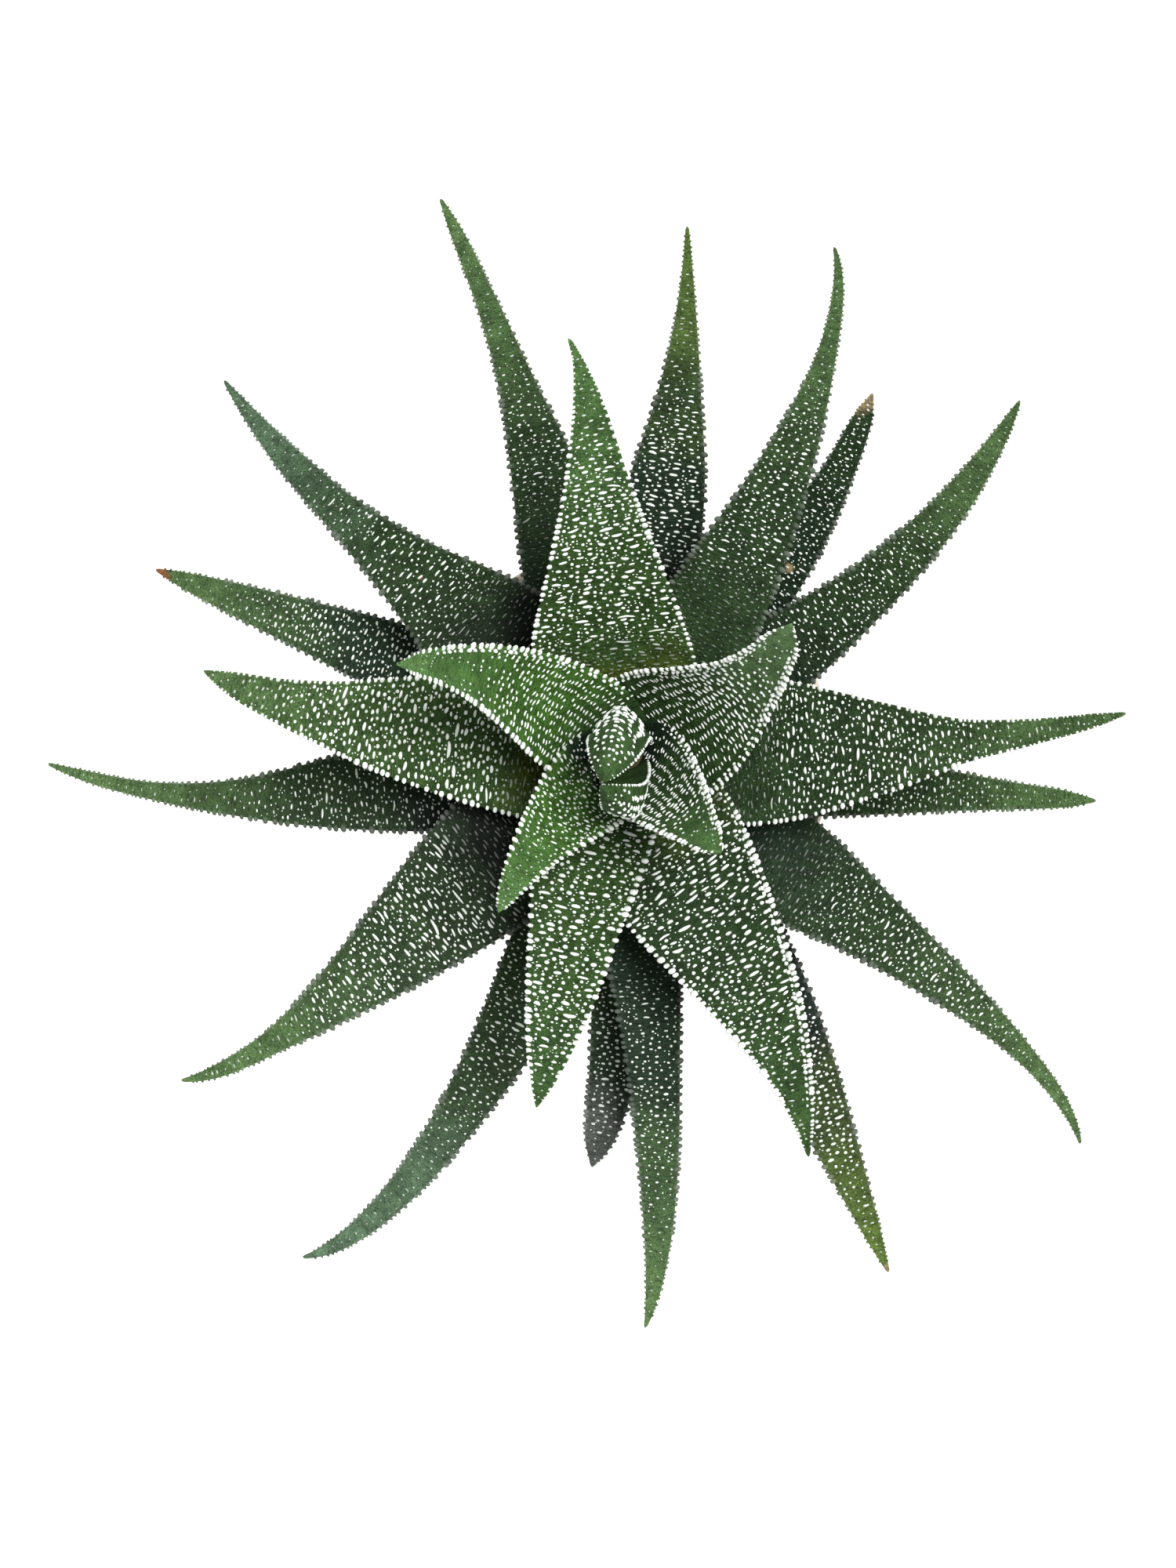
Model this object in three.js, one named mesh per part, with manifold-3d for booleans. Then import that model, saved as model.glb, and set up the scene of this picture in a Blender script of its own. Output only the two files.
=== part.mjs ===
// A potted haworthia: a stemmed rosette of thick, studded leaves in a plain clay pot.
// Millimetres, +Z up. The origin is the centre of the pot's flat underside.
import * as THREE from 'three';
import { mergeVertices } from 'three/addons/utils/BufferGeometryUtils.js';
import Module from 'manifold-3d';

const wasm = await Module();
wasm.setup();

// ---- driving dimensions -------------------------------------------------------------------

const GAP = 0.35;                 // clearance that neighbouring pieces keep
const WELD = 1e-4;                // points closer than this are one

const POT_HEIGHT = 50;
const POT_FOOT_RADIUS = 19;       // outside, at the flat underside
const POT_WAIST_RADIUS = 23.4;    // outside, just under the rim band
const RIM_RADIUS = 26.5;          // outside of the rim band
const RIM_HEIGHT = 12;
const WALL = 2.6;
const FLOOR = 4;
const EDGE_ROUND = 0.9;           // rounding of the rim's lip and of the foot
const POT_SIDES = 40;
const ROUND_STEPS = 1;            // divisions of a rounding, each of them two chamfers
const DRAIN_COUNT = 3;
const DRAIN_RADIUS = 2.8;
const DRAIN_CIRCLE = 10.5;        // the holes' distance from the axis
const DRAIN_SIDES = 16;

const SOIL_LEVEL = 45;            // height of the mix at the pot's wall
const SOIL_MOUND = 1.4;           // extra height of the mix at the stem
const SOIL_LUMP = 0.45;           // height of its crumbs
const SOIL_WAVES = [[1.9, 0.7, 0], [-0.6, 2.3, 1]];   // their two waves: radians per mm, and phase
const SOIL_RINGS = 7;
const SOIL_SIDES = 36;

const STEM_BOTTOM = 36;           // the stem's cut end, down in the mix
const STEM_TOP = 79;
const STEM_RADIUS = 6;            // at the mix
const STEM_TOP_RADIUS = 2.2;
const STEM_POINT = 1.1;           // height of the growing point above that
const STEM_SIDES = 16;

const HANDLE = 0.38;              // reach of a midrib's curve handles, as a share of its chord
const HOOK = 0.2;                 // the same at the tip of a leaf that hooks only near its end
const ROOT_DEPTH = 1.2;           // how far a leaf's root is sunk before the stem trims it
const TIP_WIDTH = 0.7;
const THINNEST = 0.8;
const THIN_POWER = 0.7;           // how fast a blade thins as it narrows
const BELLY_POWER = 1.7;          // 2 gives a round underside, 1 a sharp keel
const CLASP = 0.5;                // extra cupping where a leaf clasps the stem
const CLASP_LENGTH = 0.28;        // share of the leaf that the clasp takes

const STUD = 0.5;                 // height of a stud on the face of a leaf
const TOOTH = 0.55;               // reach of a tooth on its margin
const FULL_WIDTH = 9;             // blade width at which studs have their full height
const BARE_ROOT = 0.16;           // share of the leaf at its root that is bare
const BARE_TIP = 0.9;             // share from which the tip is bare of studs

const ROWS = { old: 14, mature: 15, upper: 15, inner: 12, bud: 9 };   // rings along a leaf
const TIP_ROW = 0.35;             // the last ring's distance from the tip, in rows

// Shares of a leaf's length, from tip to root, where its width is given.
const STATIONS = [0, 0.07, 0.2, 0.35, 0.5, 0.7, 0.87, 1];
const ROOT_SHARE = 0.8;           // width at the root, as a share of the last one given

// ---- the leaves, from the lowest and oldest to the bud ------------------------------------
//
// Angles are degrees. Azimuths and bearings run anticlockwise from +X, climbs up from level,
// and a climb past 90 leans back over the bud.
//   root     azimuth and height at which it leaves the stem
//   tip      azimuth, reach from the stem's axis and height of its tip
//   bearing  its heading at root and tip
//   climb    its slope at root and tip
//   blade    its width at the inner six stations
//   thick    its greatest thickness
//   roll     turn about its midrib, positive with the left margin up
//   cup      how much its margins stand up, as a share of the half width
//   hooked   true on a leaf that bends only near its tip

const LEAVES = [
  { name: 'leaf_old_1', root: [-88, 50], tip: [-94.4, 50.9, 66], bearing: [-88, -106],
    climb: [8, 24], blade: [3.5, 5.4, 7, 8.2, 9.2, 9.4], thick: 3.6, roll: 0, cup: 0.12 },
  { name: 'leaf_old_2', root: [51, 50.6], tip: [55.4, 52.6, 76], bearing: [49.5, 71],
    climb: [14, 34], blade: [2.4, 3.8, 5.7, 7.4, 8.8, 9], thick: 3.6, roll: 0, cup: 0.12 },
  { name: 'leaf_old_3', root: [-9, 51.2], tip: [-5.7, 57.8, 70], bearing: [-6.5, -3],
    climb: [8, 24], blade: [2.1, 3.5, 5.3, 7.7, 10.5, 11.5], thick: 4, roll: 0, cup: 0.12 },
  { name: 'leaf_old_4', root: [157, 52], tip: [158.6, 60.6, 76], bearing: [156, 160],
    climb: [10, 30], blade: [2.1, 4.2, 6.2, 8.4, 9.8, 10.2], thick: 4, roll: 0, cup: 0.12 },
  { name: 'leaf_old_5', root: [-57, 52.8], tip: [-63, 70.4, 74], bearing: [-54, -68],
    climb: [8, 22], blade: [2, 4.4, 7.1, 9.3, 10.9, 11.2], thick: 4.2, roll: 0, cup: 0.12 },
  { name: 'leaf_old_6', root: [80, 53.6], tip: [83.2, 63.9, 76], bearing: [82.7, 92],
    climb: [10, 28], blade: [1.1, 2.9, 5.7, 9.2, 11.6, 12], thick: 4.2, roll: 0, cup: 0.12 },
  { name: 'leaf_old_7', root: [191, 54.4], tip: [181.1, 68.9, 80], bearing: [184.5, 159],
    climb: [10, 28], blade: [1.3, 2.2, 4.5, 8.2, 12.8, 13.8], thick: 4.2, roll: 0, cup: 0.12 },
  { name: 'leaf_old_8', root: [-107, 55.2], tip: [-122.5, 71.5, 80], bearing: [-107.8, -172],
    climb: [10, 28], blade: [1.9, 3.6, 5.3, 7.5, 10.3, 11.1], thick: 4.2, roll: 0, cup: 0.12, hooked: true },
  { name: 'leaf_old_9', root: [108, 56], tip: [108.4, 69.5, 82], bearing: [106.5, 117],
    climb: [12, 28], blade: [1.6, 2.6, 4.4, 7.7, 11.9, 12.8], thick: 4.2, roll: 0, cup: 0.12 },

  { name: 'leaf_mature_1', root: [-85, 57.4], tip: [-88, 67.6, 88], bearing: [-84, -109],
    climb: [18, 36], blade: [1.8, 3.7, 5.3, 6.7, 9.4, 11], thick: 4.2, roll: 0, cup: 0.14, hooked: true },
  { name: 'leaf_mature_2', root: [32, 58.4], tip: [41.7, 62.1, 88], bearing: [31, 65],
    climb: [20, 38], blade: [1.7, 3.5, 5.2, 7, 10.2, 11.8], thick: 4.2, roll: 0, cup: 0.14 },
  { name: 'leaf_mature_3', root: [-35, 59.4], tip: [-40.6, 70.8, 86], bearing: [-35, -80.5],
    climb: [16, 32], blade: [1.3, 2.6, 5.2, 8.2, 13.3, 14.4], thick: 4.5, roll: 0, cup: 0.14, hooked: true },
  { name: 'leaf_mature_4', root: [134, 60.4], tip: [137.2, 64, 90], bearing: [137, 125],
    climb: [18, 36], blade: [1.5, 3.3, 4.9, 8.4, 15.2, 16.8], thick: 4.5, roll: 0, cup: 0.14 },
  { name: 'leaf_mature_5', root: [54, 61.4], tip: [67.5, 63.7, 92], bearing: [57.3, 110],
    climb: [20, 38], blade: [1.2, 2.3, 5, 8, 12, 13], thick: 4.5, roll: 0, cup: 0.14, hooked: true },
  { name: 'leaf_mature_6', root: [-143.5, 62.4], tip: [-143.5, 64.6, 90], bearing: [-142, -176],
    climb: [18, 34], blade: [1.6, 3.2, 7, 11.5, 16.4, 17.2], thick: 4.5, roll: 0, cup: 0.14, hooked: true },

  { name: 'leaf_upper_1', root: [1, 64], tip: [4.4, 57.9, 96], bearing: [1.3, 14],
    climb: [24, 42], blade: [1.7, 3.1, 5.4, 10.6, 16.8, 17.8], thick: 4.6, roll: 0, cup: 0.16 },
  { name: 'leaf_upper_2', root: [195, 65.4], tip: [169.2, 49.4, 98], bearing: [168.5, 154],
    climb: [28, 46], blade: [2.7, 5.2, 8.4, 12, 16, 17.4], thick: 4.4, roll: 0, cup: 0.16 },
  { name: 'leaf_upper_3', root: [-75, 66.8], tip: [-65.7, 50.9, 99], bearing: [-66, -86],
    climb: [28, 46], blade: [2, 5, 9.2, 13.2, 17.8, 19], thick: 4.8, roll: 6, cup: 0.18 },
  { name: 'leaf_upper_4', root: [106, 68.2], tip: [97.9, 47.5, 102], bearing: [99.5, 122],
    climb: [32, 50], blade: [1.5, 4.3, 7.4, 11.4, 17.5, 20.8], thick: 4.8, roll: 0, cup: 0.16, hooked: true },
  { name: 'leaf_upper_5', root: [-150, 69.6], tip: [-104.2, 41.8, 101], bearing: [-104, -104],
    climb: [34, 52], blade: [2.6, 5.6, 8.2, 10.2, 13.2, 14.6], thick: 4.6, roll: 0, cup: 0.16 },

  { name: 'leaf_inner_1', root: [24, 71.4], tip: [37.5, 23.3, 108], bearing: [28, 66],
    climb: [56, 62], blade: [3.6, 5.6, 8.2, 12.2, 16.6, 17.6], thick: 4.2, roll: 0, cup: 0.3 },
  { name: 'leaf_inner_2', root: [150, 72.4], tip: [159.2, 27.6, 107], bearing: [146, 188],
    climb: [50, 58], blade: [2.4, 4.4, 6.8, 9.4, 12.4, 13.4], thick: 4, roll: -8, cup: 0.3 },
  { name: 'leaf_inner_3', root: [-131, 74], tip: [-128.7, 23.2, 104], bearing: [-134, -114],
    climb: [52, 58], blade: [2, 3.6, 5.4, 7.6, 10.4, 11.4], thick: 3.8, roll: 0, cup: 0.3 },
  { name: 'leaf_inner_4', root: [-44, 75.2], tip: [-47.3, 15.4, 105], bearing: [-42, -50],
    climb: [62, 64], blade: [3, 4.8, 7, 9, 11.2, 12], thick: 3.8, roll: 0, cup: 0.3 },
  { name: 'leaf_bud_1', root: [-85, 76.4], tip: [-127, 4.9, 99], bearing: [-85, -45],
    climb: [76, 132], blade: [2.2, 4.2, 5.2, 5.6, 5.8, 5.6], thick: 2.6, roll: 0, cup: 0.3 },
  { name: 'leaf_bud_2', root: [98, 77], tip: [-128.3, 4.5, 101], bearing: [98, 72],
    climb: [76, 138], blade: [2.7, 5.2, 6.5, 6.9, 7, 6.8], thick: 3, roll: 0, cup: 0.3 },
];

// ---- colours ------------------------------------------------------------------------------

const COLOURS = {
  old: { color: 0x23412a, roughness: 0.55 },
  mature: { color: 0x2b5230, roughness: 0.55 },
  upper: { color: 0x3a6a35, roughness: 0.5 },
  inner: { color: 0x4a7d3e, roughness: 0.5 },
  bud: { color: 0x5b8a50, roughness: 0.5 },
  stem: { color: 0x6d6a45, roughness: 0.8 },
  soil: { color: 0x3b2a1e, roughness: 1 },
  clay: { color: 0xd3c8b6, roughness: 0.9 },
};

function material(key) {
  return new THREE.MeshStandardMaterial({ ...COLOURS[key], metalness: 0, flatShading: true });
}

// ---- solids -------------------------------------------------------------------------------

function solidOf(geometry) {
  const bare = geometry.clone();
  bare.deleteAttribute('normal');
  bare.deleteAttribute('uv');
  const merged = mergeVertices(bare, WELD);
  return new wasm.Manifold(new wasm.Mesh({
    numProp: 3,
    vertProperties: new Float32Array(merged.attributes.position.array),
    triVerts: new Uint32Array(merged.index.array),
  }));
}

function geometryOf(solid) {
  const mesh = solid.getMesh();
  const geometry = new THREE.BufferGeometry();
  geometry.setAttribute('position', new THREE.BufferAttribute(mesh.vertProperties, 3));
  geometry.setIndex(new THREE.BufferAttribute(mesh.triVerts, 1));
  return geometry;
}

// The largest of the bodies that a cut leaves: the scraps are dropped.
function mainBody(solid) {
  return solid.decompose().reduce((best, body) => (body.volume() > best.volume() ? body : best));
}

function meshOf(name, geometry, colour) {
  const mesh = new THREE.Mesh(geometry, material(colour));
  mesh.name = name;
  return mesh;
}

// ---- leaf shape ---------------------------------------------------------------------------

const radians = THREE.MathUtils.degToRad;

function heading(bearing, climb) {
  const flat = Math.cos(radians(climb));
  const turn = radians(bearing);
  return new THREE.Vector3(flat * Math.cos(turn), flat * Math.sin(turn), Math.sin(radians(climb)));
}

function stemRadius(height) {
  const share = THREE.MathUtils.clamp((height - SOIL_LEVEL) / (STEM_TOP - SOIL_LEVEL), 0, 1);
  return THREE.MathUtils.lerp(STEM_RADIUS, STEM_TOP_RADIUS, share);
}

function midribOf(leaf) {
  const [rootAzimuth, rootHeight] = leaf.root;
  const [tipAzimuth, reach, tipHeight] = leaf.tip;
  const start = heading(rootAzimuth, 0).multiplyScalar(stemRadius(rootHeight) - ROOT_DEPTH);
  const end = heading(tipAzimuth, 0).multiplyScalar(reach);
  start.z = rootHeight;
  end.z = tipHeight;
  const chord = start.distanceTo(end);
  const first = heading(leaf.bearing[0], leaf.climb[0]).multiplyScalar(HANDLE * chord);
  const last = heading(leaf.bearing[1], leaf.climb[1]);
  last.multiplyScalar((leaf.hooked ? -HOOK : -HANDLE) * chord);
  first.add(start);
  last.add(end);
  return new THREE.CubicBezierCurve3(start, first, last, end);
}

// Width at a share of the length from the root, through the stations by a smooth curve.
function widthAt(leaf, along) {
  const widths = [TIP_WIDTH, ...leaf.blade, leaf.blade[leaf.blade.length - 1] * ROOT_SHARE];
  const fromTip = 1 - along;
  let k = 0;
  while (k < STATIONS.length - 2 && fromTip > STATIONS[k + 1]) k += 1;
  const slope = (i) => {
    const low = Math.max(i - 1, 0);
    const high = Math.min(i + 1, STATIONS.length - 1);
    return (widths[high] - widths[low]) / (STATIONS[high] - STATIONS[low]);
  };
  const span = STATIONS[k + 1] - STATIONS[k];
  const u = (fromTip - STATIONS[k]) / span;
  const blend = u * u * (3 - 2 * u);
  const startPull = u * (1 - u) * (1 - u) * span * slope(k);
  const endPull = u * u * (1 - u) * span * slope(k + 1);
  return widths[k] + (widths[k + 1] - widths[k]) * blend + startPull - endPull;
}

// The blade's cross-section at a share of its length: its place, directions and sizes.
function sectionAt(leaf, midrib, along) {
  const centre = midrib.getPointAt(along);
  const forward = midrib.getTangentAt(along);
  const bearing = radians(THREE.MathUtils.lerp(leaf.bearing[0], leaf.bearing[1], along));
  const left = new THREE.Vector3(-Math.sin(bearing), Math.cos(bearing), 0);
  left.addScaledVector(forward, -left.dot(forward)).normalize();
  const up = new THREE.Vector3().crossVectors(forward, left);
  left.applyAxisAngle(forward, radians(leaf.roll));
  up.applyAxisAngle(forward, radians(leaf.roll));
  const width = widthAt(leaf, along);
  const thick = Math.max(THINNEST, leaf.thick * (width / Math.max(...leaf.blade)) ** THIN_POWER);
  const clasp = CLASP * Math.max(0, 1 - along / CLASP_LENGTH) ** 2;
  return { centre, forward, left, up, thick, half: width / 2, cup: leaf.cup + clasp };
}

// A point of the section. Across runs from -1 at the right margin to 1 at the left one, and
// lift is the distance out of the face.
function pointAt(section, across, under, lift = 0) {
  const belly = under ? section.thick * (1 - Math.abs(across) ** BELLY_POWER) + lift : -lift;
  return section.centre.clone()
    .addScaledVector(section.left, across * section.half)
    .addScaledVector(section.up, section.cup * section.half * across * across - belly);
}

// The tooth that stands out of a margin: side is 1 on the left and -1 on the right.
function toothAt(section, side, reach) {
  return pointAt(section, side, false).addScaledVector(section.left, side * reach);
}

const TOP_COLUMNS = [1, 0.5, 0, -0.5, -1];
const UNDER_COLUMNS = [-0.55, 0, 0.55];

// The ring of a section: over the top from left to right, and back below. Grown, it bounds
// the space that a neighbour keeps clear of, and its margins have a thickness of their own.
function ringAt(section, grown) {
  const wide = { ...section, half: section.half + grown };
  const underColumns = grown > 0 ? [-1, ...UNDER_COLUMNS, 1] : UNDER_COLUMNS;
  const top = TOP_COLUMNS.map((across) => pointAt(wide, across, false, grown));
  const under = underColumns.map((across) => pointAt(wide, across, true, grown));
  return [...top, ...under];
}

// The middle of each cell of a ring, and whether it lies on the underside.
const CELL_MIDDLES = [
  [0.75, false], [0.25, false], [-0.25, false], [-0.75, false],
  [-0.78, true], [-0.28, true], [0.28, true], [0.78, true],
];
const LEFT_MARGIN = 0;
const RIGHT_MARGIN = TOP_COLUMNS.length - 1;

// How much of its full height the relief has: none on the bare root and tip.
function reliefShare(section, along) {
  if (along < BARE_ROOT || along > BARE_TIP) return 0;
  return Math.min(1, (2 * section.half) / FULL_WIDTH);
}

// Triangles over one cell, fanned from a hub that is a stud in its middle or one of its rim.
function fanCell(index, rim, hub) {
  rim.forEach((corner, k) => {
    const next = rim[(k + 1) % rim.length];
    if (corner !== hub && next !== hub) index.push(hub, corner, next);
  });
}

function closeEnd(index, ring, hub, atRoot) {
  ring.forEach((corner, j) => {
    const next = ring[(j + 1) % ring.length];
    index.push(hub, ...(atRoot ? [next, corner] : [corner, next]));
  });
}

// A closed blade of rings along the midrib. With relief, every other cell carries a stud and
// each margin has a tooth between rings. Grown, it is plain and swollen by that margin.
function bladeGeometry(leaf, rows, grown = 0) {
  const midrib = midribOf(leaf);
  const positions = [];
  const index = [];
  const add = (point) => positions.push(point.x, point.y, point.z) / 3 - 1;
  const alongAt = (row) => row / (rows + TIP_ROW);
  const sections = [];
  for (let row = 0; row <= rows; row += 1) {
    sections.push(sectionAt(leaf, midrib, alongAt(row)));
  }
  const [first, last] = [sections[0], sections[rows]];
  first.centre.addScaledVector(first.forward, -grown);
  const rings = sections.map((section) => ringAt(section, grown).map(add));
  for (let row = 0; row < rows; row += 1) {
    const along = alongAt(row + 0.5);
    const section = sectionAt(leaf, midrib, along);
    const share = grown > 0 ? 0 : reliefShare(section, along);
    const leftTooth = share > 0 ? add(toothAt(section, 1, share * TOOTH)) : null;
    const rightTooth = share > 0 ? add(toothAt(section, -1, share * TOOTH)) : null;
    const [ring, beyond] = [rings[row], rings[row + 1]];
    ring.forEach((corner, j) => {
      const next = (j + 1) % ring.length;
      const rim = [corner, ring[next], beyond[next], beyond[j]];
      const teeth = { [LEFT_MARGIN]: leftTooth, [RIGHT_MARGIN]: rightTooth };
      const tooth = teeth[j] ?? teeth[next] ?? null;
      if (tooth !== null) rim.splice(j in teeth ? 4 : 2, 0, tooth);
      const studded = share > 0 && (row + j) % 2 === 0;
      const stud = studded ? add(pointAt(section, ...CELL_MIDDLES[j], share * STUD)) : null;
      fanCell(index, rim, stud ?? tooth ?? corner);
    });
  }
  const rootHub = first.centre.addScaledVector(first.up, -first.thick / 2);
  const tipHub = midrib.getPoint(1).addScaledVector(last.up, -last.thick / 2);
  closeEnd(index, rings[0], add(rootHub), true);
  closeEnd(index, rings[rows], add(tipHub.addScaledVector(last.forward, grown)), false);
  const geometry = new THREE.BufferGeometry();
  geometry.setAttribute('position', new THREE.Float32BufferAttribute(positions, 3));
  geometry.setIndex(index);
  return geometry;
}

// ---- pot, mix and stem --------------------------------------------------------------------

// A turned solid from a profile of radius and height that starts and ends on the axis.
function turned(profile, sides) {
  return new THREE.LatheGeometry(profile, sides).rotateX(Math.PI / 2);
}

function innerRadius(height) {
  const share = (height - FLOOR) / (POT_HEIGHT - FLOOR);
  return THREE.MathUtils.lerp(POT_FOOT_RADIUS - WALL, POT_WAIST_RADIUS, share);
}

function potSolid() {
  const outline = new THREE.Path();
  const lipRadius = innerRadius(POT_HEIGHT);
  outline.moveTo(0, 0);
  outline.lineTo(POT_FOOT_RADIUS - EDGE_ROUND, 0);
  outline.absarc(POT_FOOT_RADIUS - EDGE_ROUND, EDGE_ROUND, EDGE_ROUND, -Math.PI / 2, 0);
  outline.lineTo(POT_WAIST_RADIUS, POT_HEIGHT - RIM_HEIGHT);
  outline.lineTo(RIM_RADIUS - EDGE_ROUND, POT_HEIGHT - RIM_HEIGHT);
  outline.lineTo(RIM_RADIUS, POT_HEIGHT - RIM_HEIGHT + EDGE_ROUND);
  outline.absarc(RIM_RADIUS - EDGE_ROUND, POT_HEIGHT - EDGE_ROUND, EDGE_ROUND, 0, Math.PI / 2);
  outline.absarc(lipRadius + EDGE_ROUND, POT_HEIGHT - EDGE_ROUND, EDGE_ROUND, Math.PI / 2, Math.PI);
  outline.lineTo(innerRadius(FLOOR), FLOOR);
  outline.lineTo(0, FLOOR);
  let pot = solidOf(turned(outline.getPoints(ROUND_STEPS), POT_SIDES));
  for (let k = 0; k < DRAIN_COUNT; k += 1) {
    const drill = new THREE.CylinderGeometry(DRAIN_RADIUS, DRAIN_RADIUS, 3 * FLOOR, DRAIN_SIDES);
    const place = heading((360 * k) / DRAIN_COUNT, 0).multiplyScalar(DRAIN_CIRCLE);
    pot = pot.subtract(solidOf(drill.rotateX(Math.PI / 2).translate(place.x, place.y, 0)));
  }
  return pot;
}

function stemGeometry(grown = 0) {
  const profile = [
    new THREE.Vector2(0, STEM_BOTTOM - grown),
    new THREE.Vector2(STEM_RADIUS + grown, STEM_BOTTOM - grown),
    new THREE.Vector2(STEM_RADIUS + grown, SOIL_LEVEL),
    new THREE.Vector2(STEM_TOP_RADIUS + grown, STEM_TOP),
    new THREE.Vector2(0, STEM_TOP + STEM_POINT + grown),
  ];
  return turned(profile, STEM_SIDES);
}

// The mix's surface: a low mound to the stem, roughened into crumbs.
function soilHeight(x, y) {
  const mound = SOIL_MOUND * (1 - Math.hypot(x, y) / innerRadius(SOIL_LEVEL));
  const wave = ([perX, perY, phase]) => Math.sin(perX * x + perY * y + phase);
  return SOIL_LEVEL + mound + SOIL_LUMP * wave(SOIL_WAVES[0]) * wave(SOIL_WAVES[1]);
}

function soilSolid() {
  const bottom = FLOOR + GAP;
  const profile = [new THREE.Vector2(0, bottom), new THREE.Vector2(innerRadius(bottom) - GAP, bottom)];
  const widest = innerRadius(SOIL_LEVEL) - GAP;
  for (let ring = SOIL_RINGS; ring >= 0; ring -= 1) {
    profile.push(new THREE.Vector2((widest * ring) / SOIL_RINGS, SOIL_LEVEL));
  }
  const geometry = turned(profile, SOIL_SIDES);
  const position = geometry.attributes.position;
  for (let i = 0; i < position.count; i += 1) {
    const [x, y, z] = [position.getX(i), position.getY(i), position.getZ(i)];
    if (z > SOIL_LEVEL - GAP && Math.hypot(x, y) < widest - GAP) position.setZ(i, soilHeight(x, y));
  }
  return solidOf(geometry).subtract(solidOf(stemGeometry(GAP)));
}

// ---- the plant ----------------------------------------------------------------------------

function colourOf(leaf) {
  return leaf.name.split('_')[1];
}

// Each leaf is trimmed where the stem and the younger leaves above it take its place.
function rosette() {
  const stemSpace = solidOf(stemGeometry(GAP));
  const rowsOf = (leaf) => ROWS[colourOf(leaf)];
  const spaces = LEAVES.map((leaf) => solidOf(bladeGeometry(leaf, rowsOf(leaf), STUD + GAP)));
  return LEAVES.map((leaf, age) => {
    let solid = solidOf(bladeGeometry(leaf, rowsOf(leaf))).subtract(stemSpace);
    spaces.slice(age + 1).forEach((space) => {
      solid = solid.subtract(space);
    });
    return meshOf(leaf.name, geometryOf(mainBody(solid)), colourOf(leaf));
  });
}

const pottedHaworthia = new THREE.Group();
pottedHaworthia.add(
  meshOf('pot', geometryOf(potSolid()), 'clay'),
  meshOf('potting_mix', geometryOf(soilSolid()), 'soil'),
  meshOf('stem', stemGeometry(), 'stem'),
  ...rosette(),
);

export default pottedHaworthia;
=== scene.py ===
"""A potted haworthia: a rosette of thick, white-studded leaves on a short stem, in a plain clay pot.

The tables are in millimetres and degrees, as the part is. The meshes are in metres, +Z up, with
the origin at the centre of the pot's flat underside. Every random draw is seeded.
"""
import math
from dataclasses import dataclass, field
from types import SimpleNamespace

import bpy
import numpy as np
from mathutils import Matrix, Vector
from mathutils.bvhtree import BVHTree


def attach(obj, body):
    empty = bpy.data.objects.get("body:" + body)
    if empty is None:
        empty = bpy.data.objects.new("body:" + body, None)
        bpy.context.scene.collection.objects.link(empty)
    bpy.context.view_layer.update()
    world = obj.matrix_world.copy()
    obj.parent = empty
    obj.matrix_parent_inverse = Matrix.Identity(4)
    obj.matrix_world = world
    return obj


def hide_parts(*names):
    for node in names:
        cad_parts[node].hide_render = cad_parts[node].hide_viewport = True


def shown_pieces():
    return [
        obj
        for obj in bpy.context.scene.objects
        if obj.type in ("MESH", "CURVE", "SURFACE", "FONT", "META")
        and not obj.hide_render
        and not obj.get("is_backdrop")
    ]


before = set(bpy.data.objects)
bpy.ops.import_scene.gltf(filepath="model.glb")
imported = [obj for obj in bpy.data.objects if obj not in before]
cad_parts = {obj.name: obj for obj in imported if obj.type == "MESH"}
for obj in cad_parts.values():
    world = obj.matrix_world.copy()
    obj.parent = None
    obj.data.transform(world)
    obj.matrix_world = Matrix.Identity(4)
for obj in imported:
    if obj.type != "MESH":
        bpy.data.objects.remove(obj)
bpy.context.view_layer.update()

MM = 0.001

# ---- driving dimensions, as on the part ----

GAP = 0.35

POT_HEIGHT = 50
POT_FOOT_RADIUS = 19
POT_WAIST_RADIUS = 23.4
RIM_RADIUS = 26.5
RIM_HEIGHT = 12
WALL = 2.6
FLOOR = 4
EDGE_ROUND = 0.9
DRAIN_COUNT = 3
DRAIN_RADIUS = 2.8
DRAIN_CIRCLE = 10.5

SOIL_LEVEL = 45
SOIL_MOUND = 1.4
STEM_BOTTOM = 36
STEM_TOP = 79
STEM_RADIUS = 6
STEM_TOP_RADIUS = 2.2
STEM_POINT = 1.1

HANDLE = 0.38
HOOK = 0.2
ROOT_DEPTH = 1.2
THIN_POWER = 0.7
BELLY_POWER = 1.7
CLASP = 0.5
CLASP_LENGTH = 0.28
STATIONS = (0, 0.07, 0.2, 0.35, 0.5, 0.7, 0.87, 1)
ROOT_SHARE = 0.8

# ---- colours ----

# night is the darkest green. It paints shade in the wrinkles' grooves, and with ink and deep it darkens the
# roots of the outer leaves: partly their own colour, partly painted shade.
PALETTE = dict(
    night="#101811", ink="#1b251f", deep="#223323", pine="#2c4024",
    forest="#334c23", moss="#3c582e", leaf="#446a2b", fresh="#567a44",
    spring="#668756", sage="#547043", mist="#566f55", olive="#566e35",
    lime="#5a7031", glow="#435019", ash="#565b55", husk="#9a8a66",
    rust="#7d5230", pearl="#f1f4f0", pearl_shade="#d4dbd0",
    clay="#d3c8b6", clay_pale="#e2dacb", clay_dark="#9c8c75", speck="#6e5a45",
    peat="#2a1c13", peat_pale="#4a3626", grit="#8d8273",
    bark="#5b5136", bark_dark="#352c1c", floor="#f4f4f2",
)


def linear(name):
    """A palette colour as linear RGBA."""
    channels = [int(PALETTE[name][i:i + 2], 16) / 255 for i in (1, 3, 5)]
    values = [c / 12.92 if c <= 0.04045 else ((c + 0.055) / 1.055) ** 2.4 for c in channels]
    return (*values, 1)


# ---- the leaves ----


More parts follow.
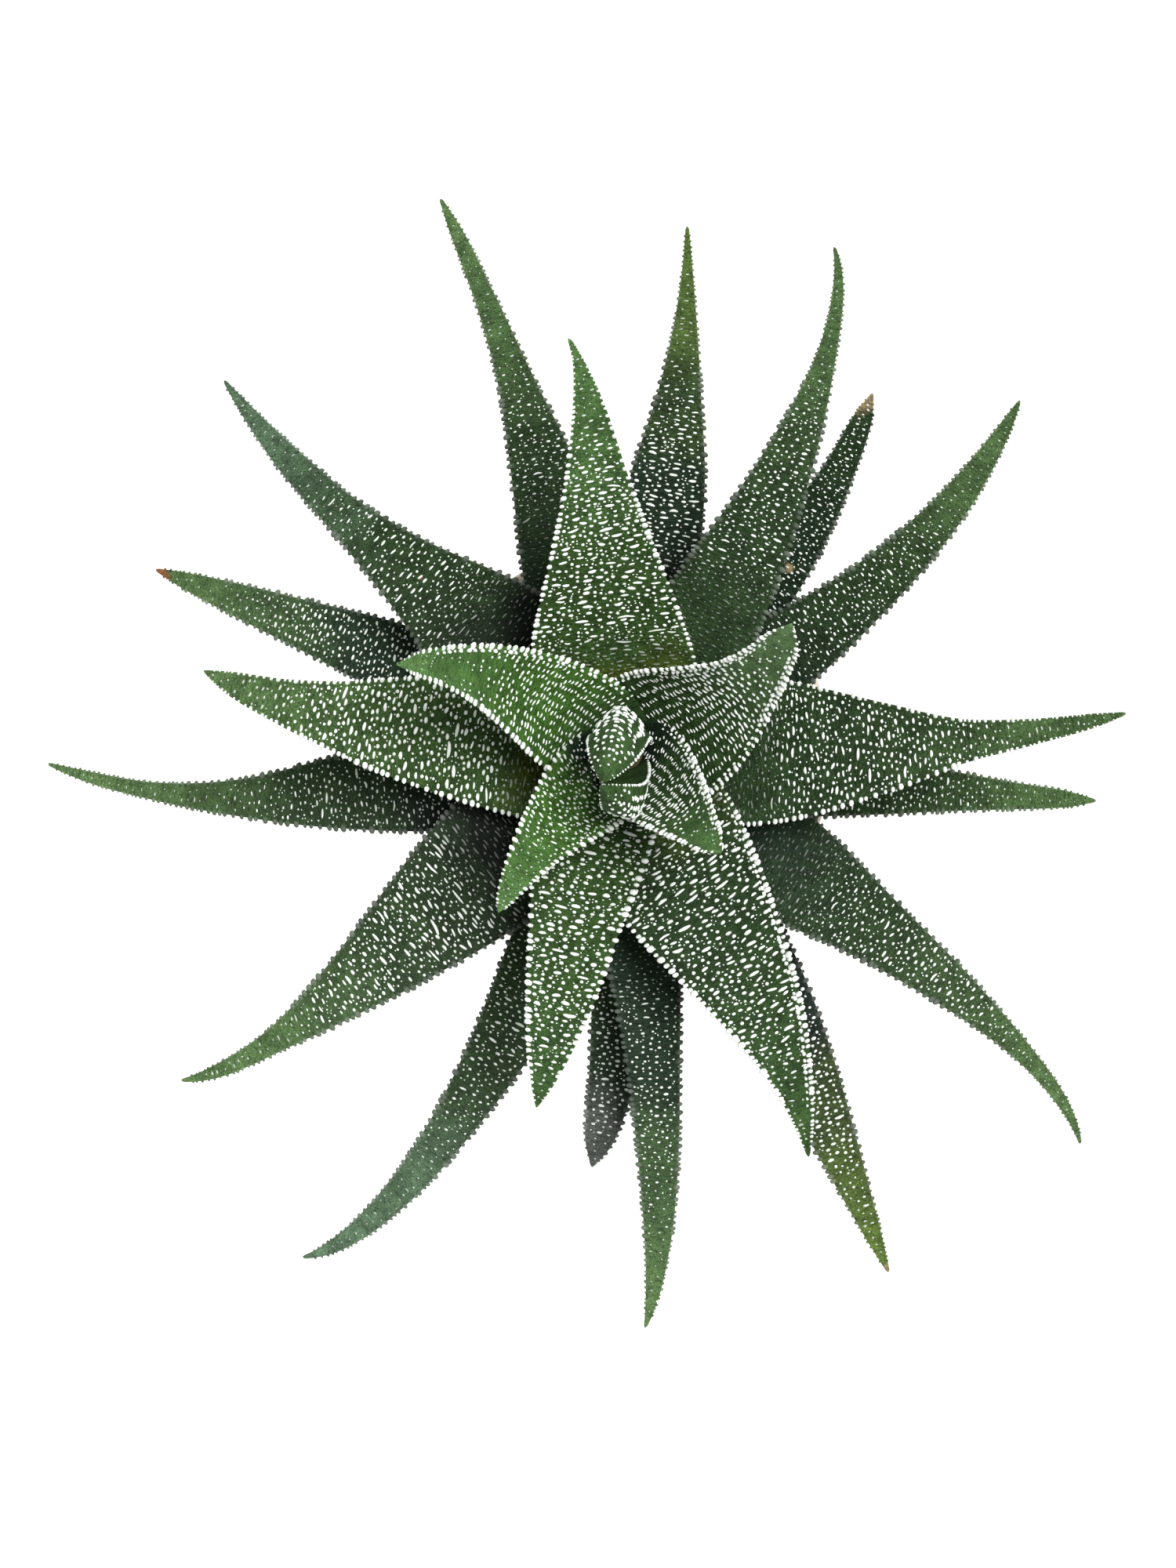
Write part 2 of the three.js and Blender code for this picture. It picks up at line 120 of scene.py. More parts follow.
@dataclass(frozen=True)
class Studs:
    """Studs thrown over the upper face. Sizes are millimetres, the rest shares."""
    radius: float  # half the width of a stud, along the leaf
    gap: float  # least clearance between two studs
    stretch: float  # the usual extra half length, across the leaf
    fade: tuple  # where along the leaf they shrink and thin out to the tip
    whiten: tuple = (0.14, 0.26)  # where they turn from green to white
    fine: float = 0.15  # share of the fine dots that are kept


@dataclass(frozen=True)
class Bars:
    """Studs drawn out to cross-bars, in lengthwise rows. Sizes are millimetres, the rest shares."""
    radius: float
    stretch: float
    columns: int
    pitch: float  # spacing along a row
    fade: tuple
    whiten: tuple = (0, 0.05)


@dataclass(frozen=True)
class Beads:
    """The teeth along the margins. Sizes are millimetres."""
    radius: float
    pitch: float
    white: float = 0.9
    doubled: tuple = (0, 0)  # share of the right and of the left margin with a second row inside
    rise: float = 1.8  # height of a tooth, as a share of its radius


TEETH = Beads(0.31, 0.96, white=0.18, rise=2.2)  # the greener, longer teeth of the outer leaves


@dataclass(frozen=True)
class Leaf:
    """Places and sizes of one leaf, as on the part, and its looks. Shares are of its length."""
    name: str
    root: tuple  # angle round the stem and height
    tip: tuple  # angle, distance from the axis and height
    bearing: tuple  # direction seen from above, at the root and at the tip
    climb: tuple  # steepness at the root and at the tip
    blade: tuple  # widths from near the tip to the base, at the stations
    thick: float
    tones: str  # palette names at the root, along the body and at the tip; on the old and mature leaves the dark root tone is partly painted shade
    studs: Studs | Bars
    beads: Beads = TEETH
    roll: float = 0
    cup: float = 0.12
    hooked: bool = False  # a hooked leaf bends nearer to its tip
    dry: tuple = ()  # palette name and share of a dried tip
    spot: tuple = ()  # palette name, share, distance to the left and radius of a blemish

    @property
    def group(self):
        return self.name.split("_")[1]


LEAVES = [
    Leaf("leaf_old_1", (-88, 50), (-94.4, 50.9, 66), (-88, -106), (8, 24),
         (3.5, 5.4, 7, 8.2, 9.2, 9.4), 3.6, "pine pine deep", Studs(0.18, 0.34, 0.2, (0.8, 0.98), fine=0.1),
         dry=("ash", 0.16)),
    Leaf("leaf_old_2", (51, 50.6), (55.4, 52.6, 76), (49.5, 71), (14, 34),
         (2.4, 3.8, 5.7, 7.4, 8.8, 9), 3.6, "night deep pine", Studs(0.16, 0.34, 0.28, (0.3, 1.4), fine=0.2),
         dry=("husk", 0.03), spot=("husk", 0.52, -1.1, 0.9)),
    Leaf("leaf_old_3", (-9, 51.2), (-5.7, 57.8, 70), (-6.5, -3), (8, 24),
         (2.1, 3.5, 5.3, 7.7, 10.5, 11.5), 4, "pine pine sage", Studs(0.15, 0.4, 0.22, (0.6, 0.9))),
    Leaf("leaf_old_4", (157, 52), (158.6, 60.6, 76), (156, 160), (10, 30),
         (2.1, 4.2, 6.2, 8.4, 9.8, 10.2), 4, "night deep sage", Studs(0.16, 0.36, 0.34, (0.6, 0.9)),
         dry=("rust", 0.02)),
    Leaf("leaf_old_5", (-57, 52.8), (-63, 70.4, 74), (-54, -68), (8, 22),
         (2, 4.4, 7.1, 9.3, 10.9, 11.2), 4.2, "night ink lime",
         Studs(0.21, 0.26, 0.26, (0.66, 0.97), fine=0.2), dry=("husk", 0.015)),
    Leaf("leaf_old_6", (80, 53.6), (83.2, 63.9, 76), (82.7, 92), (10, 28),
         (1.1, 2.9, 5.7, 9.2, 11.6, 12), 4.2, "night deep olive",
         Studs(0.17, 0.26, 0.48, (0.5, 0.8), whiten=(0.28, 0.42), fine=0.2)),
    Leaf("leaf_old_7", (191, 54.4), (181.1, 68.9, 80), (184.5, 159), (10, 28),
         (1.3, 2.2, 4.5, 8.2, 12.8, 13.8), 4.2, "ink pine sage", Studs(0.14, 0.38, 0.34, (0.45, 0.75))),
    Leaf("leaf_old_8", (-107, 55.2), (-122.5, 71.5, 80), (-107.8, -172), (10, 28),
         (1.9, 3.6, 5.3, 7.5, 10.3, 11.1), 4.2, "pine pine mist", Studs(0.16, 0.4, 0.25, (0.5, 0.8)),
         hooked=True),
    Leaf("leaf_old_9", (108, 56), (108.4, 69.5, 82), (106.5, 117), (12, 28),
         (1.6, 2.6, 4.4, 7.7, 11.9, 12.8), 4.2, "deep pine sage",
         Studs(0.14, 0.44, 0.24, (0.5, 0.8), whiten=(0.34, 0.6))),

    Leaf("leaf_mature_1", (-85, 57.4), (-88, 67.6, 88), (-84, -109), (18, 36),
         (1.8, 3.7, 5.3, 6.7, 9.4, 11), 4.2, "deep deep sage",
         Studs(0.15, 0.46, 0.16, (0.6, 0.9), whiten=(0.3, 0.5), fine=0.12), cup=0.14, hooked=True),
    Leaf("leaf_mature_2", (32, 58.4), (41.7, 62.1, 88), (31, 65), (20, 38),
         (1.7, 3.5, 5.2, 7, 10.2, 11.8), 4.2, "ink pine sage",
         Studs(0.15, 0.42, 0.24, (0.5, 0.85), whiten=(0.24, 0.42)), cup=0.14),
    Leaf("leaf_mature_3", (-35, 59.4), (-40.6, 70.8, 86), (-35, -80.5), (16, 32),
         (1.3, 2.6, 5.2, 8.2, 13.3, 14.4), 4.5, "deep pine sage",
         Studs(0.17, 0.36, 0.3, (0.62, 0.9), whiten=(0.3, 0.5), fine=0.25), cup=0.14, hooked=True),
    Leaf("leaf_mature_4", (134, 60.4), (137.2, 64, 90), (137, 125), (18, 36),
         (1.5, 3.3, 4.9, 8.4, 15.2, 16.8), 4.5, "night pine mist",
         Studs(0.15, 0.38, 0.42, (0.5, 0.8), whiten=(0.3, 0.48), fine=0.2), cup=0.14,
         spot=("rust", 0.465, -0.27, 0.35)),
    Leaf("leaf_mature_5", (54, 61.4), (67.5, 63.7, 92), (57.3, 110), (20, 38),
         (1.2, 2.3, 5, 8, 12, 13), 4.5, "pine pine sage",
         Studs(0.16, 0.4, 0.24, (0.55, 0.85), whiten=(0.28, 0.5), fine=0.2), cup=0.14, hooked=True),
    Leaf("leaf_mature_6", (-143.5, 62.4), (-143.5, 64.6, 90), (-142, -176), (18, 34),
         (1.6, 3.2, 7, 11.5, 16.4, 17.2), 4.5, "night pine sage",
         Studs(0.18, 0.26, 0.5, (0.6, 0.82), whiten=(0.28, 0.42), fine=0.3), cup=0.14, hooked=True),

    Leaf("leaf_upper_1", (1, 64), (4.4, 57.9, 96), (1.3, 14), (24, 42),
         (1.7, 3.1, 5.4, 10.6, 16.8, 17.8), 4.6, "pine pine sage",
         Studs(0.18, 0.29, 0.48, (0.52, 0.82), whiten=(0.22, 0.36), fine=0.3), Beads(0.26, 0.98), cup=0.16),
    Leaf("leaf_upper_2", (195, 65.4), (169.2, 49.4, 98), (168.5, 154), (28, 46),
         (2.7, 5.2, 8.4, 12, 16, 17.4), 4.4, "glow forest sage",
         Studs(0.22, 0.24, 0.45, (0.62, 0.86), whiten=(0.2, 0.3), fine=0.3), Beads(0.27, 0.98), cup=0.16),
    Leaf("leaf_upper_3", (-75, 66.8), (-65.7, 50.9, 99), (-66, -86), (28, 46),
         (2, 5, 9.2, 13.2, 17.8, 19), 4.8, "glow pine moss",
         Studs(0.22, 0.28, 0.58, (0.62, 0.88), whiten=(0.14, 0.28), fine=0.3),
         Beads(0.31, 0.88, doubled=(0, 0.88)), roll=6, cup=0.18),
    Leaf("leaf_upper_4", (106, 68.2), (97.9, 47.5, 102), (99.5, 122), (32, 50),
         (1.5, 4.3, 7.4, 11.4, 17.5, 20.8), 4.8, "glow forest fresh",
         Studs(0.19, 0.23, 0.54, (0.58, 0.84), whiten=(0.18, 0.34), fine=0.4), Beads(0.27, 0.95), cup=0.16,
         hooked=True),
    Leaf("leaf_upper_5", (-150, 69.6), (-104.2, 41.8, 101), (-104, -104), (34, 52),
         (2.6, 5.6, 8.2, 10.2, 13.2, 14.6), 4.6, "forest forest moss",
         Studs(0.24, 0.34, 0.36, (0.68, 0.96), whiten=(0.1, 0.2), fine=0.3), Beads(0.33, 1.15), cup=0.16),

    Leaf("leaf_inner_1", (24, 71.4), (37.5, 23.3, 108), (28, 66), (56, 62),
         (3.6, 5.6, 8.2, 12.2, 16.6, 17.6), 4.2, "moss moss spring", Bars(0.2, 0.42, 11, 1.08, (0.52, 0.95)),
         Beads(0.29, 1.15, doubled=(0.9, 0.85)), cup=0.3),
    Leaf("leaf_inner_2", (150, 72.4), (159.2, 27.6, 107), (146, 188), (50, 58),
         (2.4, 4.4, 6.8, 9.4, 12.4, 13.4), 4, "moss leaf fresh", Bars(0.19, 0.36, 10, 1, (0.38, 0.78)),
         Beads(0.3, 1.15, doubled=(0.85, 0)), roll=-8, cup=0.3),
    Leaf("leaf_inner_3", (-131, 74), (-128.7, 23.2, 104), (-134, -114), (52, 58),
         (2, 3.6, 5.4, 7.6, 10.4, 11.4), 3.8, "deep leaf fresh",
         Studs(0.17, 0.36, 0.26, (0.3, 0.75), whiten=(0, 0.08), fine=0.1), Beads(0.29, 1.25), cup=0.3),
    Leaf("leaf_inner_4", (-44, 75.2), (-47.3, 15.4, 105), (-42, -50), (62, 64),
         (3, 4.8, 7, 9, 11.2, 12), 3.8, "deep moss fresh", Bars(0.17, 0.34, 8, 1, (0.45, 0.85)),
         Beads(0.28, 1.1, doubled=(0, 0.9)), cup=0.3),
    Leaf("leaf_bud_1", (-85, 76.4), (-127, 4.9, 99), (-85, -45), (76, 132),
         (2.2, 4.2, 5.2, 5.6, 5.8, 5.6), 2.6, "deep moss moss", Bars(0.19, 0.42, 5, 0.8, (0.84, 1)),
         Beads(0.18, 0.75), cup=0.3),
    Leaf("leaf_bud_2", (98, 77), (-128.3, 4.5, 101), (98, 72), (76, 138),
         (2.7, 5.2, 6.5, 6.9, 7, 6.8), 3, "deep moss moss", Bars(0.19, 0.42, 6, 0.85, (0.86, 1)),
         Beads(0.18, 0.75), cup=0.3),
]

# ---- leaf shape ----

TIP_WIDTH = 0.4  # the tips are finer here than on the solids, as real ones are
THINNEST = 0.5
MARGIN_ROUND = 0.14  # rounding of the margin, as a share of the thickness
TIP_ROUND = 0.3  # length over which the very tip closes
ARC_STEPS = 400
BLADE_ROWS = 96
TIP_ANGLES = (30, 58, 80)
WRAP = 1.1  # how far the base wraps round the stem, in radians each way
TOP_COLUMNS = 20
UNDER_COLUMNS = 18


def lerp(a, b, t):
    return a + (b - a) * t


def smooth(low, high, x):
    """0 below low, 1 above high, and an even blend between them."""
    t = np.clip((np.asarray(x, float) - low) / (high - low), 0, 1)
    return t * t * (3 - 2 * t)


def heading(bearing, climb):
    turn, rise = np.radians(bearing), np.radians(climb)
    return np.array([np.cos(rise) * np.cos(turn), np.cos(rise) * np.sin(turn), np.sin(rise)])


def around(turn, reach, height):
    """Points at angles round the axis, in radians, at this distance from it and height."""
    return np.stack([np.cos(turn) * reach, np.sin(turn) * reach, height + 0 * turn], -1)


def unit(v):
    return v / np.linalg.norm(v, axis=-1, keepdims=True)


def stem_radius(height):
    share = np.clip((height - SOIL_LEVEL) / (STEM_TOP - SOIL_LEVEL), 0, 1)
    return lerp(STEM_RADIUS, STEM_TOP_RADIUS, share)


class Shape:
    """The form of one leaf: its midrib, and the points of its faces, in millimetres."""

    def __init__(self, leaf):
        self.leaf = leaf
        turn, height = leaf.root
        start = around(math.radians(turn), stem_radius(height) - ROOT_DEPTH, height)
        end = around(math.radians(leaf.tip[0]), *leaf.tip[1:])
        chord = np.linalg.norm(end - start)
        pull = HOOK if leaf.hooked else HANDLE
        first = start + heading(leaf.bearing[0], leaf.climb[0]) * HANDLE * chord
        last = end - heading(leaf.bearing[1], leaf.climb[1]) * pull * chord
        self.curve = np.array([start, first, last, end])
        self.steps = np.linspace(0, 1, ARC_STEPS + 1)
        hops = np.linalg.norm(np.diff(self.midrib(self.steps), axis=0), axis=1)
        self.arc = np.concatenate([[0], np.cumsum(hops)])
        self.length = self.arc[-1]
        self.stations = np.array(STATIONS)
        self.widths = np.array([TIP_WIDTH, *leaf.blade, leaf.blade[-1] * ROOT_SHARE])
        index = np.arange(len(STATIONS))
        low, high = np.maximum(index - 1, 0), np.minimum(index + 1, index[-1])
        self.slopes = (self.widths[high] - self.widths[low]) / (self.stations[high] - self.stations[low])

    def midrib(self, t):
        t = np.asarray(t)[..., None]
        a, b, c, d = self.curve
        return (1 - t) ** 3 * a + 3 * (1 - t) ** 2 * t * b + 3 * (1 - t) * t ** 2 * c + t ** 3 * d

    def tangent(self, t):
        t = np.asarray(t)[..., None]
        a, b, c, d = self.curve
        return unit((1 - t) ** 2 * (b - a) + 2 * (1 - t) * t * (c - b) + t ** 2 * (d - c))

    def width(self, along):
        """Width at shares of the length from the root, through the stations by a smooth curve."""
        from_tip = 1 - np.asarray(along)
        k = np.clip(np.searchsorted(self.stations, from_tip, side="left") - 1, 0, len(self.stations) - 2)
        span = self.stations[k + 1] - self.stations[k]
        u = (from_tip - self.stations[k]) / span
        middle = self.widths[k] + (self.widths[k + 1] - self.widths[k]) * u * u * (3 - 2 * u)
        start_pull = u * (1 - u) ** 2 * span * self.slopes[k]
        end_pull = u * u * (1 - u) * span * self.slopes[k + 1]
        return middle + start_pull - end_pull

    def sections(self, along):
        """Centres, directions and sizes of the cross-sections at shares of the length."""
        along = np.atleast_1d(np.asarray(along, float))
        t = np.interp(along * self.length, self.arc, self.steps)
        forward = self.tangent(t)
        bearing = np.radians(lerp(*self.leaf.bearing, along))
        left = np.stack([-np.sin(bearing), np.cos(bearing), np.zeros_like(bearing)], -1)
        left = unit(left - forward * np.sum(left * forward, -1, keepdims=True))
        up = np.cross(forward, left)
        turn = math.radians(self.leaf.roll)
        left, up = left * math.cos(turn) + up * math.sin(turn), up * math.cos(turn) - left * math.sin(turn)
        width = self.width(along)
        thick = self.leaf.thick * (width / max(self.leaf.blade)) ** THIN_POWER
        return SimpleNamespace(
            centre=self.midrib(t), forward=forward, left=left, up=up,
            half=width / 2, thick=np.maximum(THINNEST, thick),
            cup=self.leaf.cup + CLASP * np.maximum(0, 1 - along / CLASP_LENGTH) ** 2)

    def hearts(self, along):
        """Points on the midrib's way, halfway through the thickness."""
        s = self.sections(along)
        return s.centre - s.up * s.thick[:, None] / 2

    def points(self, along, across, under):
        """Points of the faces. Across runs from -1 at the right margin to 1 at the left one."""
        s = self.sections(along)
        across, under = np.asarray(across, float), np.asarray(under, bool)
        edge = MARGIN_ROUND * s.thick
        inside = np.clip(1 - np.abs(across), 0, 1)
        top = edge * (1 - np.sqrt(inside * (2 - inside)))
        belly = edge + (s.thick - edge) * (1 - np.abs(across) ** BELLY_POWER)
        drop = np.where(under, belly, top)
        wrap = np.maximum(WRAP * np.maximum(0, 1 - np.asarray(along) / CLASP_LENGTH) ** 2, 1e-3)
        aside = s.half * np.sin(wrap * across) / wrap
        rise = s.cup * s.half * across ** 2 - drop
        return s.centre + s.left * aside[..., None] + s.up * rise[..., None]

    def frames(self, along, across, under):
        """Points of the faces with their outward normals and the directions across and along."""
        step = 1e-3
        across = np.clip(across, -1 + 2 * step, 1 - 2 * step)
        here = self.points(along, across, under)
        side = unit(self.points(along, across + step, under) - self.points(along, across - step, under))
        ahead = unit(self.points(np.minimum(along + step, 1), across, under) - here)
        normal = unit(np.cross(ahead, side)) * np.where(under, -1, 1)[..., None]
        return here, normal, side, unit(np.cross(side, normal))


# ---- meshes ----


@dataclass
class Mesh:
    """Points in millimetres, faces of three or four corners, and numbers kept at the points."""
    points: np.ndarray
    quads: np.ndarray
    tris: np.ndarray
    marks: dict = field(default_factory=dict)

    def faces(self):
        return self.quads.tolist() + self.tris.tolist()


def object_of(name, made, material, flat=False):
    """A Blender object of a Mesh, in metres."""
    mesh = bpy.data.meshes.new(name)
    mesh.from_pydata((made.points * MM).tolist(), [], made.faces(), shade_flat=flat)
    mesh.validate()
    for mark, values in made.marks.items():
        kept = mesh.attributes.new(mark, "FLOAT", "POINT")
        kept.data.foreach_set("value", np.asarray(values, np.float32))
    mesh.materials.append(material)
    piece = bpy.data.objects.new(name, mesh)
    bpy.context.scene.collection.objects.link(piece)
    return piece


def stand_for(piece, node):
    """Rides the piece on the one body, in place of a node of the part."""
    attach(piece, "root")
    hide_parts(node)


def closed_mesh(points, columns, marks, inside_out=False):
    """A tube of rings of so many columns each, closed at its ends by fans to the last two points."""
    here = np.arange(len(points) - 2).reshape(-1, columns)
    after = np.roll(here, -1, axis=1)
    quads = np.stack([here[:-1], after[:-1], after[1:], here[1:]], -1).reshape(-1, 4)
    first_hub, last_hub = np.full(columns, len(points) - 2), np.full(columns, len(points) - 1)
    tris = np.concatenate([np.stack([after[0], here[0], first_hub], -1),
                           np.stack([here[-1], after[-1], last_hub], -1)])
    way = -1 if inside_out else 1
    return Mesh(points, quads[:, ::way], tris[:, ::way], marks)


def turned(profile, sides, inside_out=False):
    """A closed turned body from (radius, height) points that start and end on the axis."""
    (_, first), *rings, (_, last) = profile
    turns = np.linspace(0, 2 * math.pi, sides, endpoint=False)
    points = [around(turns, r, h) for r, h in rings]
    return closed_mesh(np.concatenate([*points, [[0, 0, first], [0, 0, last]]]), sides, {}, inside_out)


def blade_mesh(shape):
    """The whole closed blade, with rings closer at its tip and columns closer at its margins."""
    top = np.linspace(0, math.pi, TOP_COLUMNS + 1)
    below = np.linspace(math.pi, 2 * math.pi, UNDER_COLUMNS + 1)[1:-1]
    across = np.cos(np.concatenate([top, below]))
    under = np.arange(len(across)) > TOP_COLUMNS
    tip_share = TIP_ROUND / shape.length
    body = np.linspace(0, 1 - tip_share, BLADE_ROWS)
    angles = np.radians(TIP_ANGLES)
    along = np.concatenate([body, 1 - tip_share + tip_share * np.sin(angles)])
    closing = np.concatenate([np.ones(len(body)), np.cos(angles)])
    grid_along = np.repeat(along, len(across))
    points = shape.points(grid_along, np.tile(across, len(along)), np.tile(under, len(along)))
    hearts = np.repeat(shape.hearts(along), len(across), axis=0)
    points = hearts + (points - hearts) * np.repeat(closing, len(across))[:, None]
    half = shape.width(along)[:, None] / 2
    marks = {
        "along": np.concatenate([grid_along, [0, 1]]),
        "side": np.concatenate([(half * across).ravel(), [0, 0]]),
        "white": np.zeros(len(points) + 2),
    }
    points = np.concatenate([points, shape.hearts([0, 1])])
    return closed_mesh(points, len(across), marks), hearts


# ---- fitting the leaves together ----

TUCK = 0.35  # how far into a younger leaf an older one ends
STUD_CLEARANCE = 0.22  # a stud this near to another leaf is left out
DEEPEST = 3.0  # nothing inside a leaf is further than this from its skin
NUDGE = 1e-3
PROBE = Vector((0.31, 0.17, 0.93)).normalized()


def tree_of(made):
    return BVHTree.FromPolygons(made.points.tolist(), made.faces())


def tuck_under(made, hearts, younger):
    """Ends an older leaf just inside the younger ones that it meets, looking out from its heart."""
    for i in range(len(hearts)):
        heart = Vector(hearts[i])
        ray = Vector(made.points[i]) - heart
        reach = ray.length
        ray.normalize()
        for tree in younger:
            found, normal, _, distance = tree.ray_cast(heart, ray, reach)
            if found is not None:
                leaving = ray.dot(normal) > 0
                reach = min(reach, max(0.05, distance - TUCK if leaving else distance + TUCK))
        made.points[i] = np.array(heart + ray * reach)


def within(tree, point):
    """True if the point is inside the closed mesh, by counting what a ray from it meets."""
    hits = 0
    found = point
    while found is not None:
        found, _, _, _ = tree.ray_cast(found + PROBE * NUDGE, PROBE)
        hits += found is not None
    return hits % 2 == 1


def clear_of(points, own, others):
    """True for each point on a leaf's own skin that is neither in nor nearly touching another."""
    free = np.ones(len(points), bool)
    for i, p in enumerate(points):
        point = Vector(p)
        if own.find_nearest(point)[3] > STUD_CLEARANCE:
            free[i] = False
            continue
        for low, high, tree in others:
            if np.any(p < low) or np.any(p > high):
                continue
            found, _, _, distance = tree.find_nearest(point, DEEPEST)
            if found is not None and (distance < STUD_CLEARANCE or within(tree, point)):
                free[i] = False
                break
    return free


# ---- studs and margin teeth ----

STUD_SIDES = 8
STUD_RINGS = (40, 72, 106)  # polar angles of a stud's rings
STUD_FOOT = 0.8  # how deep its foot's middle is, as a share of its radius
BLUNTNESS = 0.45  # share of its extra length that squares a stud's ends
SUNK = 0.25  # share of its height that a stud is sunk
STUD_LEAST = 0.07  # what a stud's height has beyond its half width
RIM_WHITE = 0.8  # share of its whiteness that a stud keeps at its foot, a little painted shade where it meets the skin
FIRST, LAST = 0.1, 0.985  # shares of the leaf between which there are studs
SMALLEST = 0.06
BARE_MARGIN = 0.4  # bare strip inside each margin

THROWS = 7000
LENGTHWISE = 0.85  # studs may lie this much closer along the leaf than across it
SHORTNESS = 1.8  # the higher, the more of the studs are short
LONG_SHARE, LONGER = 0.16, 2.1
FINE_THROWS = 5000
FINE_RADIUS, FINE_STRETCH, FINE_GAP, FINE_WHITE = 0.085, 0.03, 0.13, 0.7

LANE_SHARE = 0.86  # share of the width that lengthwise rows take up
BAR_GROWTH = (0.3, 0.65)  # shares of the leaf between which bars reach their full size
BAR_STRAY = 0.14  # how far a bar strays from its row
BAR_APART = 0.06  # half the clearance between neighbouring rows
BAR_COUNT = 0.92  # share of the places in a row that hold a bar

BAND = 1.9  # spacing of the cross-bands under a leaf
BAND_STUD = 1.35  # spacing of the studs in a band
BAND_END = 0.3  # how much further in than other studs the bands end
BAND_STRAY = (0.16, 0.12)  # how far a stud strays from its band, along and across the leaf
BAND_RADIUS, BAND_STRETCH = (0.15, 0.25), (0.1, 0.5)

TOOTH_LIFT = 0.42  # how far the teeth point up rather than out
TOOTH_TURN = -18  # degrees that their longer side turns from square to the leaf
TOOTH_SINK = 0.15  # how deep they sit, as a share of their radius
TOOTH_GROWN = 0.3  # share of the leaf where they reach their full size
TEETH_PALE = 0.88  # share of the leaf from which they lose white
SECOND_SIZE, SECOND_INSET = 0.85, 2.1  # size of the second row, and its inset in radii
FIELDS = ("along", "side", "under", "radius", "stretch", "white", "turn", "bend")

# How studs differ from each other, and what is left of them at a leaf's root and at its tip.
THROWN = SimpleNamespace(sizes=(0.68, 1.25), whites=(0.85, 1), turn=8, bend=0.12, root_size=0.7,
                         root_white=0.22, tip_size=0.6, tip_white=0.4, tip_stretch=0.5,
                         tip_count=0.2, tip_gap=1.6)
BARRED = SimpleNamespace(sizes=(0.75, 1.2), whites=(0.84, 1), turn=12, bend=0.2, root_size=0.62,
                         root_white=0.5, tip_size=0.6, tip_white=0.45, tip_stretch=0.3,
                         tip_count=0.35, tip_gap=1.5)
TOOTHED = SimpleNamespace(sizes=(0.7, 1.2), whites=(0.8, 1), turn=8, root_size=0.6, tip_size=0.3,
                          tip_white=0.6)


def fields_of(rows):
    """Lists of studs as one array for each field."""
    rows = np.array(rows, float).reshape(-1, len(FIELDS))
    return dict(zip(FIELDS, rows.T))


def fades(pattern, along):
    """How far studs have whitened from the root, and how far they have not yet died out to the tip."""
    return smooth(*pattern.whiten, along), 1 - smooth(*pattern.fade, along)


def thrown_studs(shape, pattern, rng):
    """Studs thrown at the upper face until few more would fit, then fine dots between them."""
    count = THROWS + FINE_THROWS
    fine = np.arange(count) >= THROWS
    along = rng.uniform(FIRST, LAST, count)
    half = shape.width(along) / 2
    ripe, fresh = fades(pattern, along)
    radius = np.where(fine, FINE_RADIUS, pattern.radius * rng.uniform(*THROWN.sizes, count))
    radius = radius * lerp(THROWN.root_size, 1, ripe) * lerp(THROWN.tip_size, 1, fresh)
    long = rng.random(count) ** SHORTNESS * np.where(rng.random(count) < LONG_SHARE, LONGER, 1)
    stretch = np.where(fine, FINE_STRETCH, pattern.stretch * long * lerp(THROWN.tip_stretch, 1, fresh))
    side = rng.uniform(-1, 1, count) * (half - BARE_MARGIN - stretch - radius)
    white = lerp(THROWN.root_white, 1, ripe) * lerp(THROWN.tip_white, 1, fresh)
    white = white * np.where(fine, FINE_WHITE, rng.uniform(*THROWN.whites, count))
    turn = rng.normal(0, THROWN.turn, count)
    bend = rng.normal(0, THROWN.bend, count)
    keep = rng.random(count) < half / half.max() * lerp(THROWN.tip_count, 1, fresh)
    keep &= (radius > SMALLEST) & (half > BARE_MARGIN + stretch + radius)
    keep &= ~fine | (rng.random(count) < pattern.fine)
    forth = along * shape.length
    gap = np.where(fine, FINE_GAP, pattern.gap * lerp(THROWN.tip_gap, 1, fresh))
    placed = np.zeros((count, 4))
    chosen = []
    for i in np.flatnonzero(keep):
        near = placed[:len(chosen)]
        aside = np.maximum(np.abs(near[:, 1] - side[i]) - near[:, 3] - stretch[i], 0)
        ahead = (near[:, 0] - forth[i]) / LENGTHWISE
        if np.all(np.hypot(aside, ahead) > near[:, 2] + radius[i] + gap[i]):
            placed[len(chosen)] = forth[i], side[i], radius[i], stretch[i]
            chosen.append(i)
    under = np.zeros(count)
    return fields_of(np.column_stack([along, side, under, radius, stretch, white, turn, bend])[chosen])


